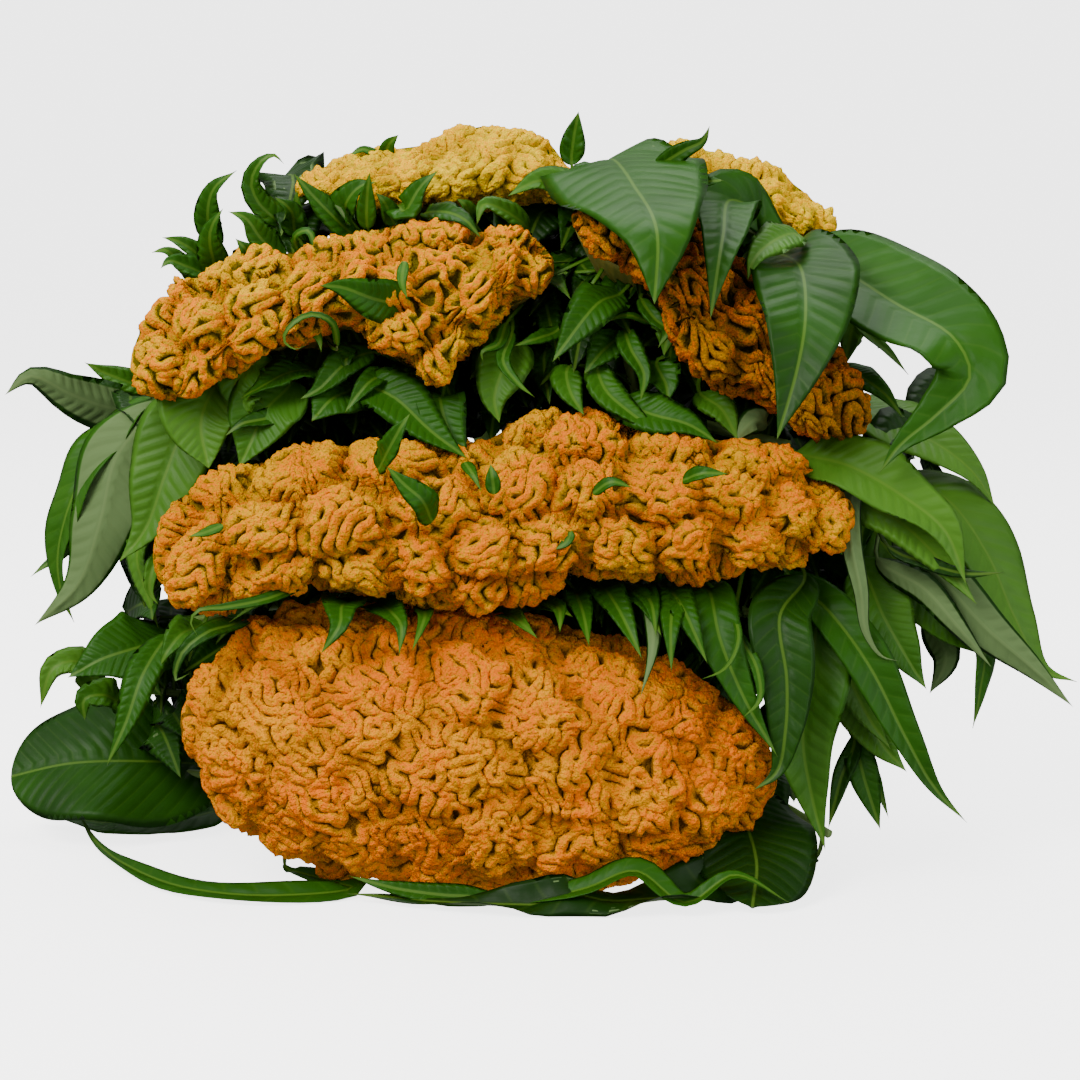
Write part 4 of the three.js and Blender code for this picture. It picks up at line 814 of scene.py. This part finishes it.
def hidden_leaves(name):
    """Leaves that can't be seen from the front, spread round the main stem and drooping."""
    stem = STEMS[name]
    draw = Draws(stem["seed"])
    main = Path(stem_path(name))
    first, last = stem["spread"]
    rows = []
    for i in range(stem["hidden"]):
        root = main.at(np.array(0.07 + 0.5 * (i + 0.6 * draw.next()) / stem["hidden"]))
        turn = math.radians(first + (last - first) * draw.next())
        rise = 0.15 + 0.45 * draw.next()
        reach = 85 + 55 * draw.next()
        out = np.array([math.cos(turn), math.sin(turn), 0])
        shares = np.array([[0.14, 0.14 * rise], [0.45, 0.45 * rise], [0.75, 0.5 * rise - 0.12],
                           [0.98, 0.3 * rise - 0.42]]) * reach
        points = root + out * shares[:, :1] + np.array([0, 0, 1]) * shares[:, 1:]
        points[:, 2] = np.maximum(points[:, 2], 3)
        width, tint = 26 + 16 * draw.next(), 0.2 + 0.4 * draw.next()
        rows.append((root, (width, tint, points, {"facing": unit(out + (0, 0, 1.4))})))
    return rows


def there_and_back(top, under):
    """Columns over the top from edge to edge, then back below without the edges."""
    return np.hstack([top, under[:, -2:0:-1]])


def leaf(shape, root, row, rng, fine=True):
    """One leaf from its root through the stalk to the tip. Half width of the blade at share v:
    (v / peak)^RISE_POWER ((1 - v) / (1 - peak))^blunt, widest at peak. A point at share a across
    is raised by fold |a| and by a wave at the edge, with a groove over the midrib. Data: distance
    from the midrib, side vein phase, share across; then tint, underside, 0."""
    width, tint, points = row[:3]
    how = row[3] if len(row) > 3 else {}
    facing = np.asarray(how.get("facing", FRONT_UP), float)
    path = Path(points if root is None else np.vstack([root, points]))
    base = 0 if root is None else path.knot
    blade_length = path.length * (1 - base)
    big = width > BIG_WIDTH or blade_length > BIG_LENGTH
    nv, na = (BIG_CELLS if big else SMALL_CELLS) if fine else INNER_CELLS
    v = 0.5 - 0.5 * np.cos(np.pi * np.linspace(0.02, 0.995, nv))
    stalk = np.linspace(0, 0.9, STALK_CELLS) if base else np.zeros(0)
    share = np.concatenate([stalk * base, base + (1 - base) * v])
    v = np.concatenate([0 * stalk, v])
    blunt = how.get("blunt", POINTED)
    peak = RISE_POWER / (RISE_POWER + blunt)
    blade = (v / peak) ** RISE_POWER * ((1 - v) / (1 - peak)) ** blunt
    half = np.where(v > 0, width / 2 * blade + 0.5 * (1 - v), STALK / 2)[:, None]
    v = v[:, None]
    a = np.linspace(-1, 1, na + 1)[None, :]
    along = path.along(share)
    up = unit(facing - along * np.sum(along * facing, axis=-1, keepdims=True))
    side = np.cross(along, up)
    slope = math.tan(math.radians(how.get("fold", FOLD)))
    wave = how.get("wave", WAVE) * (1 + 0.4 * rng.standard_normal())
    swing = np.sin(2 * np.pi * how.get("waves", WAVES) * v + np.where(a > 0, 1.7, 0))
    cup = rng.uniform(*CUP)
    lift = half * (slope * np.sqrt(a * a + 0.01) + wave * swing * a * a - cup * a * a)
    spacing = max(VEIN_GAP, blade_length / VEINS)
    vein = (v * blade_length - 0.75 * np.abs(a) * half) / spacing + (a > 0) * 0.5
    groove = GROOVE * np.exp(-(a * half / GROOVE_WIDTH) ** 2) * (half > 4)
    body = lift - groove * (v > 0)
    depth = THIN * (1 - 0.75 * a * a) * np.where(v > 0, 1, 2)
    middle = path.at(share)[:, None] + side[:, None] * (a * half)[..., None]
    rings = there_and_back(middle + up[:, None] * (body + depth / 2)[..., None],
                           middle + up[:, None] * (body - depth / 2 - 0.8 * groove)[..., None])
    lowest = rings[..., 2].min(axis=1, keepdims=True)
    rings[..., 2] += np.maximum(FLOOR_GAP - lowest, 0)
    first = np.zeros(rings.shape)
    second = np.zeros(rings.shape)
    columns = np.abs(there_and_back(a, a))
    first[..., 0] = columns * half
    first[..., 1] = there_and_back(vein, vein)
    first[..., 2] = columns
    second[..., 0] = tint
    second[:, na + 1:, 1] = 1
    shape.add(rings, first, second)


def nearest_free(places, free, point, gap):
    """The free place nearest to a point. Places within the gap of it aren't free any more."""
    root = places[np.where(free, length(places - point), np.inf).argmin()]
    free &= length(places - root) > gap
    return root


def leafy_stem(name):
    """The main stem, side shoots and fan of one stem, and its leaves, as two shapes."""
    rng = np.random.default_rng(STEMS[name]["seed"])
    woody, leaves = Shape(), Shape()
    places = [fan(name, woody)]
    tube(woody, stem_path(name), STEM, STEM - 0.6, sides=20, steps=60, upright=(1, 0.02, 0.05))
    growing = np.linspace(0.08, 0.98, SHOOT_PLACES)
    for points in STEMS[name]["shoots"]:
        places.append(tube(woody, points, SHOOT + 1, SHOOT - 1).at(growing))
    places = np.vstack(places)
    free = np.ones(len(places), bool)
    for row in LEAVES[name]:
        loose = len(row) > 3 and row[3].get("loose")
        root = None if loose else nearest_free(places, free, row[2][0], LEAF_GAP)
        leaf(leaves, root, row, rng)
    for row in filler_leaves(name, rng):
        leaf(leaves, nearest_free(places, free, row[2][0], FILLER_GAP), row, rng, fine=False)
    for root, row in hidden_leaves(name):
        leaf(leaves, root, row, rng, fine=False)
    return woody, leaves


def strand(shape, line, radius):
    """Twisted twine along a dense line: radius (1 + 0.16 cos(STRANDS (turn - twist))), the twist
    going round once in TWIST radii. Data: 0, strand, 0."""
    turn = 2 * np.pi * np.arange(TWINE_SIDES)[None, :] / TWINE_SIDES
    ridge = np.cos(STRANDS * (turn - 2 * np.pi * walked(line)[:, None] / (TWIST * radius)))
    along = unit(np.gradient(line, axis=0))
    rings = round_rings(line, along, (0.05, 0.9, 0.35), radius * (1 + 0.16 * ridge), turn)
    data = np.zeros(rings.shape)
    data[..., 1] = 0.5 + 0.5 * ridge
    shape.add(rings, data)


def twine():
    """Twine wound round the bundle in turns, with a knot on top and two loose ends."""
    shape = Shape()
    tie = np.array(TIE, float)
    bundle = unit(np.array(ENDS, float) - tie)
    across = unit(np.cross(bundle, (0, 0, 1)))
    up = np.cross(across, bundle)
    inner = RING + STEM + 0.6
    turns = round(TIE_WIDTH / TWINE)
    t = np.linspace(0, 1, TURN_CELLS * turns)[:, None]
    angle = 2 * np.pi * turns * t + np.pi / 2
    middle = inner + TWINE / 2 - 0.1
    winding = (np.cos(angle) * across + np.sin(angle) * up) * middle
    strand(shape, tie + winding + bundle * (t - 0.5) * (TIE_WIDTH - TWINE), TWINE / 2)
    top = tie + up * (inner + TWINE)
    for way in (-1, 1):
        end = [top, top + (way * 9, 3, 4), top + (way * 22, 8, -4), top + (way * 33, 12, -20)]
        strand(shape, Path(end).at(np.linspace(0, 1, TURN_CELLS)), TWINE * 0.55)
    knot = [top + (-5, 0, 0.5), top + (0, 1, 2), top + (5, 0, 0.5)]
    strand(shape, Path(knot).at(np.linspace(0, 1, 24)), TWINE)
    return shape


class Value:
    """An output of a shader node. Each operator adds one Math node."""

    def __init__(self, paint, socket):
        self.paint = paint
        self.socket = socket

    def math(self, operation, *others):
        """One Math node with this value as its first input."""
        return self.paint.node("Math", inputs=dict(enumerate((self, *others))), operation=operation)

    def __add__(self, other):
        return self.math("ADD", other)

    def __sub__(self, other):
        return self.math("SUBTRACT", other)

    def __rsub__(self, other):
        return self.math("MULTIPLY", -1) + other

    def __mul__(self, other):
        return self.math("MULTIPLY", other)

    def step(self, low, high):
        """0 below low and 1 above high, smooth between them."""
        inputs = {"Value": self, "From Min": low, "From Max": high}
        return self.paint.node("MapRange", inputs=inputs, interpolation_type="SMOOTHSTEP")


class Paint:
    """A material being built. node() adds any shader node."""

    def __init__(self, name):
        self.material = bpy.data.materials.new(name)
        self.material.use_nodes = True
        self.tree = self.material.node_tree
        self.tree.nodes.clear()

    def node(self, kind, inputs=None, output=0, **settings):
        """Adds a node with these settings and inputs and returns one of its outputs."""
        node = self.tree.nodes.new("ShaderNode" + kind)
        for key, value in settings.items():
            setattr(node, key, value)
        for key, value in (inputs or {}).items():
            if isinstance(value, Value):
                self.tree.links.new(value.socket, node.inputs[key])
            else:
                node.inputs[key].default_value = value
        return Value(self, node.outputs[output] if len(node.outputs) else None)

    def data(self, name):
        """The three numbers that each point holds under a name."""
        vector = self.node("Attribute", output=1, attribute_name=name)
        return [self.node("SeparateXYZ", inputs={0: vector}, output=k) for k in range(3)]

    def noise(self, scale, detail):
        """Noise in object space, about 0.5 in the middle, with scale waves in a metre."""
        place = self.node("TexCoord", output=3)
        return self.node("TexNoise", inputs={"Vector": place, "Scale": scale, "Detail": detail})

    def blend(self, factor, a, b):
        """Colour a where factor is 0 and b where it is 1."""
        return self.node("Mix", inputs={0: factor, 6: a, 7: b}, output=2, data_type="RGBA")

    def bump(self, strength, distance, height):
        """Normals bent as if by a height, distance metres for each 1 of it."""
        return self.node("Bump", inputs={"Strength": strength, "Distance": distance, "Height": height})

    def surface(self, base, roughness, normal, specular=0.5):
        """A Principled surface."""
        return self.node("BsdfPrincipled", inputs={
            "Base Color": base, "Roughness": roughness, "Normal": normal,
            "Specular IOR Level": specular,
        })

    def finish(self, surface):
        """Gives the material its surface and returns it."""
        self.node("OutputMaterial", inputs={0: surface})
        return self.material


def colour(red, green, blue):
    """A colour with full alpha."""
    return (red, green, blue, 1)


# Colours of each crest: tops of the folds, their flanks, and the pits between them. The dark pit
# colour is partly the olive of the fold floors and partly painted shade.
CREST_COLOURS = {
    "crest_deep": (colour(0.94, 0.185, 0), colour(0.90, 0.36, 0), colour(0.21, 0.09, 0)),
    "crest_gold": (colour(0.88, 0.195, 0), colour(0.76, 0.37, 0), colour(0.15, 0.09, 0)),
    "crest_orange": (colour(0.90, 0.215, 0), colour(0.78, 0.43, 0), colour(0.12, 0.095, 0)),
    # The right crest is orange; these darker colours are painted shade for the leaves' shadow over it.
    "crest_rust": (colour(0.58, 0.11, 0), colour(0.42, 0.18, 0), colour(0.045, 0.03, 0)),
    "crest_pale": (colour(0.95, 0.44, 0), colour(0.94, 0.62, 0), colour(0.40, 0.30, 0)),
}
# Yellow specks on the rope tops: partly the colour of the fuzz, partly painted sheen.
FUZZ_AND_SHEEN_COLOUR = colour(1, 0.40, 0)


def crest_paint(slot):
    """Velvet: pit, flank and top colours by the height in the folds, uneven with the tone."""
    top, flank, pit = CREST_COLOURS[slot]
    paint = Paint(slot)
    height, tone, valley = paint.data("first")
    speck = paint.noise(620, 3)
    patch = paint.noise(70, 3)
    level = height + (speck - 0.5) * 0.6
    # Pit colour low in the folds: partly the olive of their floors, partly painted shade in the creases.
    low = paint.blend(level.step(0.22, 0.66), pit, flank)
    share = level.step(0.45, 0.85) * (patch * 0.7 + tone * 0.08 + speck * 1.2 - 0.75).step(0, 0.3)
    warm = paint.blend(share, low, top)
    # Yellow specks on the tops, partly the fuzz's own colour and partly painted sheen.
    fuzz_and_sheen = paint.blend(speck.step(0.54, 0.68) * height.step(0.4, 0.9) * 0.45, warm, FUZZ_AND_SHEEN_COLOUR)
    dull = paint.blend((0.46 - speck).step(0, 0.12) * 0.4, fuzz_and_sheen, pit)
    # Painted shade: the valleys between lobes darken towards the pit colour.
    final = paint.blend(valley * 0.45, dull, pit)
    bump = paint.bump(1, 0.003, paint.noise(420, 2) + speck * 0.7)
    return paint.finish(paint.surface(final, 0.9, bump, specular=0.02))


def leaf_paint():
    """Leaves: dark green above and paler below, with pale veins, glossy on the upper side."""
    paint = Paint("leaf")
    reach, vein, across = paint.data("first")
    tint, under, _ = paint.data("second")
    under = under.step(0.6, 0.9)
    patch = paint.noise(22, 3)
    # A higher tint gives a darker green; for leaves in shade and inside the bunch that darkness is partly
    # painted shade.
    tone = tint + (patch - 0.5) * 0.5
    top = paint.blend(tone.step(0.45, 1), colour(0.019, 0.098, 0.001), colour(0.006, 0.030, 0.001))
    top = paint.blend((0.5 - tone).step(0, 0.4), top, colour(0.08, 0.215, 0.018))
    side_vein = (vein.math("FRACT") - 0.5).math("ABSOLUTE")
    side_line = (1 - side_vein.step(0.01, 0.10)) * (1 - across.step(0.75, 1))
    midrib = 1 - reach.step(0.45, 1.2)
    veins = (side_line * 0.07).math("MAXIMUM", midrib * 0.45)
    upper = paint.blend(veins, top, colour(0.14, 0.26, 0.03))
    lower = paint.blend(veins * 0.8, colour(0.125, 0.205, 0.070), colour(0.19, 0.28, 0.10))
    quilt = side_vein.step(0, 0.42) * (1 - across.step(0.7, 1)) * reach.step(0.5, 5)
    bump = paint.bump(0.7, 0.0006, paint.noise(220, 3) * 0.35 + paint.noise(45, 2) * 1.6 + quilt)
    roughness = under * 0.25 + 0.4 + patch * 0.1
    surface = paint.surface(paint.blend(under, upper, lower), roughness, bump, specular=0.16)
    through = paint.node("BsdfTranslucent", inputs={"Color": colour(0.05, 0.18, 0.003)})
    return paint.finish(paint.node("MixShader", inputs={0: 0.18, 1: surface, 2: through}))


def stem_paint():
    """Stems and fans: yellow green with lengthwise streaks, paler towards the crest."""
    paint = Paint("stem")
    share, ridge, green = paint.data("first")
    stem = paint.blend(ridge, colour(0.10, 0.20, 0.035), colour(0.20, 0.32, 0.075))
    pleats = paint.blend(ridge * 0.6 + share * 0.4, colour(0.30, 0.23, 0.03), colour(0.16, 0.20, 0.04))
    mottle = paint.noise(160, 3)
    shaded = paint.blend(mottle * 0.35, paint.blend(green, pleats, stem), colour(0.09, 0.13, 0.03))
    return paint.finish(paint.surface(shaded, 0.55, paint.bump(0.4, 0.0008, mottle)))


def twine_paint():
    """Twine: straw brown, darker between its strands as painted shade."""
    paint = Paint("twine")
    _, ridge, _ = paint.data("first")
    fibre = paint.noise(900, 3)
    # Darker between the strands: painted shade in the grooves, with random fibre tone.
    shade = paint.blend(ridge * 0.7 + fibre * 0.4, colour(0.16, 0.10, 0.045), colour(0.52, 0.38, 0.20))
    return paint.finish(paint.surface(shade, 0.9, paint.bump(0.6, 0.0005, fibre)))


def place(obj, node, slot):
    """Puts a piece in for its CAD node, on the one body. The slot is not used."""
    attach(obj, "root")
    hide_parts(node)


def lamp(name, at, size, power, tone=(1, 1, 1)):
    """A square area light at a place in metres that shines at the middle of the bunch."""
    data = bpy.data.lights.new(name, "AREA")
    data.shape = "SQUARE"
    data.size = size
    data.energy = power
    data.color = tone
    obj = bpy.data.objects.new(name, data)
    obj.location = at
    way = np.array((0, 0, 0.2)) - at
    tilt = math.atan2(math.hypot(way[0], way[1]), -way[2])
    obj.rotation_euler = (tilt, 0, math.atan2(way[1], way[0]) - math.pi / 2)
    bpy.context.scene.collection.objects.link(obj)


def sheet(name, size, at, roughness, tilt=0):
    """A white sheet of the stage with an even glow, which lights nothing and isn't mirrored."""
    bpy.ops.mesh.primitive_plane_add(size=size, location=at, rotation=(tilt, 0, 0))
    obj = bpy.context.object
    obj.name = name
    paint = Paint(name)
    inputs = {"Base Color": colour(0.9, 0.9, 0.9), "Roughness": roughness,
              "Emission Color": colour(1, 1, 1), "Emission Strength": 3.2}
    obj.data.materials.append(paint.finish(paint.node("BsdfPrincipled", inputs=inputs)))
    obj.visible_diffuse = False
    obj.visible_glossy = False
    return obj


def studio():
    """A white floor, soft light from above and the front, and the camera."""
    floor = sheet("floor", 80, (0, 0, -0.0005), 0.6)
    backdrop = sheet("backdrop", 60, (0, 20, 10), 0.9, tilt=math.pi / 2)
    backdrop.visible_transmission = False
    world = bpy.data.worlds.new("studio")
    world.use_nodes = True
    light = world.node_tree.nodes["Background"].inputs
    light["Color"].default_value = (1, 1, 1, 1)
    light["Strength"].default_value = 0.50
    bpy.context.scene.world = world
    lamp("key", (-1.1, -1.3, 1.7), 1.2, 63, (1.0, 0.98, 0.95))
    lamp("fill", (1.5, -1.2, 0.9), 1.5, 18, (0.95, 0.98, 1.0))
    lamp("top", (0.1, 0.5, 1.8), 1.2, 25)
    eye = bpy.data.cameras.new("camera")
    eye.lens = CAMERA_LENS
    eye.sensor_width = 36
    camera = bpy.data.objects.new("camera", eye)
    camera.location = [(CAMERA[k] - CENTRE[k]) * MM for k in range(3)]
    camera.rotation_euler = (math.radians(CAMERA_TILT), 0, 0)
    bpy.context.scene.collection.objects.link(camera)
    bpy.context.scene.camera = camera


leaf_material = leaf_paint()
stem_material = stem_paint()
crest_materials = {slot: crest_paint(slot) for slot in CREST_COLOURS}
for name, head in HEADS.items():
    slot = head["slot"]
    node = "crest_" + name
    place(crest(name).mesh(node + "_piece", crest_materials[slot]), node, slot)
    node = "leafy_stem_" + name
    woody, leaves = leafy_stem(name)
    place(woody.mesh(node + "_wood", stem_material), node, "leaf")
    place(leaves.mesh(node + "_leaves", leaf_material), node, "leaf")
stray_draws = np.random.default_rng(3)
stray = Shape()
for row in STRAY_LEAVES:
    leaf(stray, None, row, stray_draws)
place(stray.mesh("stray_leaves", leaf_material), "leafy_stem_middle", "leaf")
place(twine().mesh("twine_piece", twine_paint()), "twine_tie", "twine")
studio()
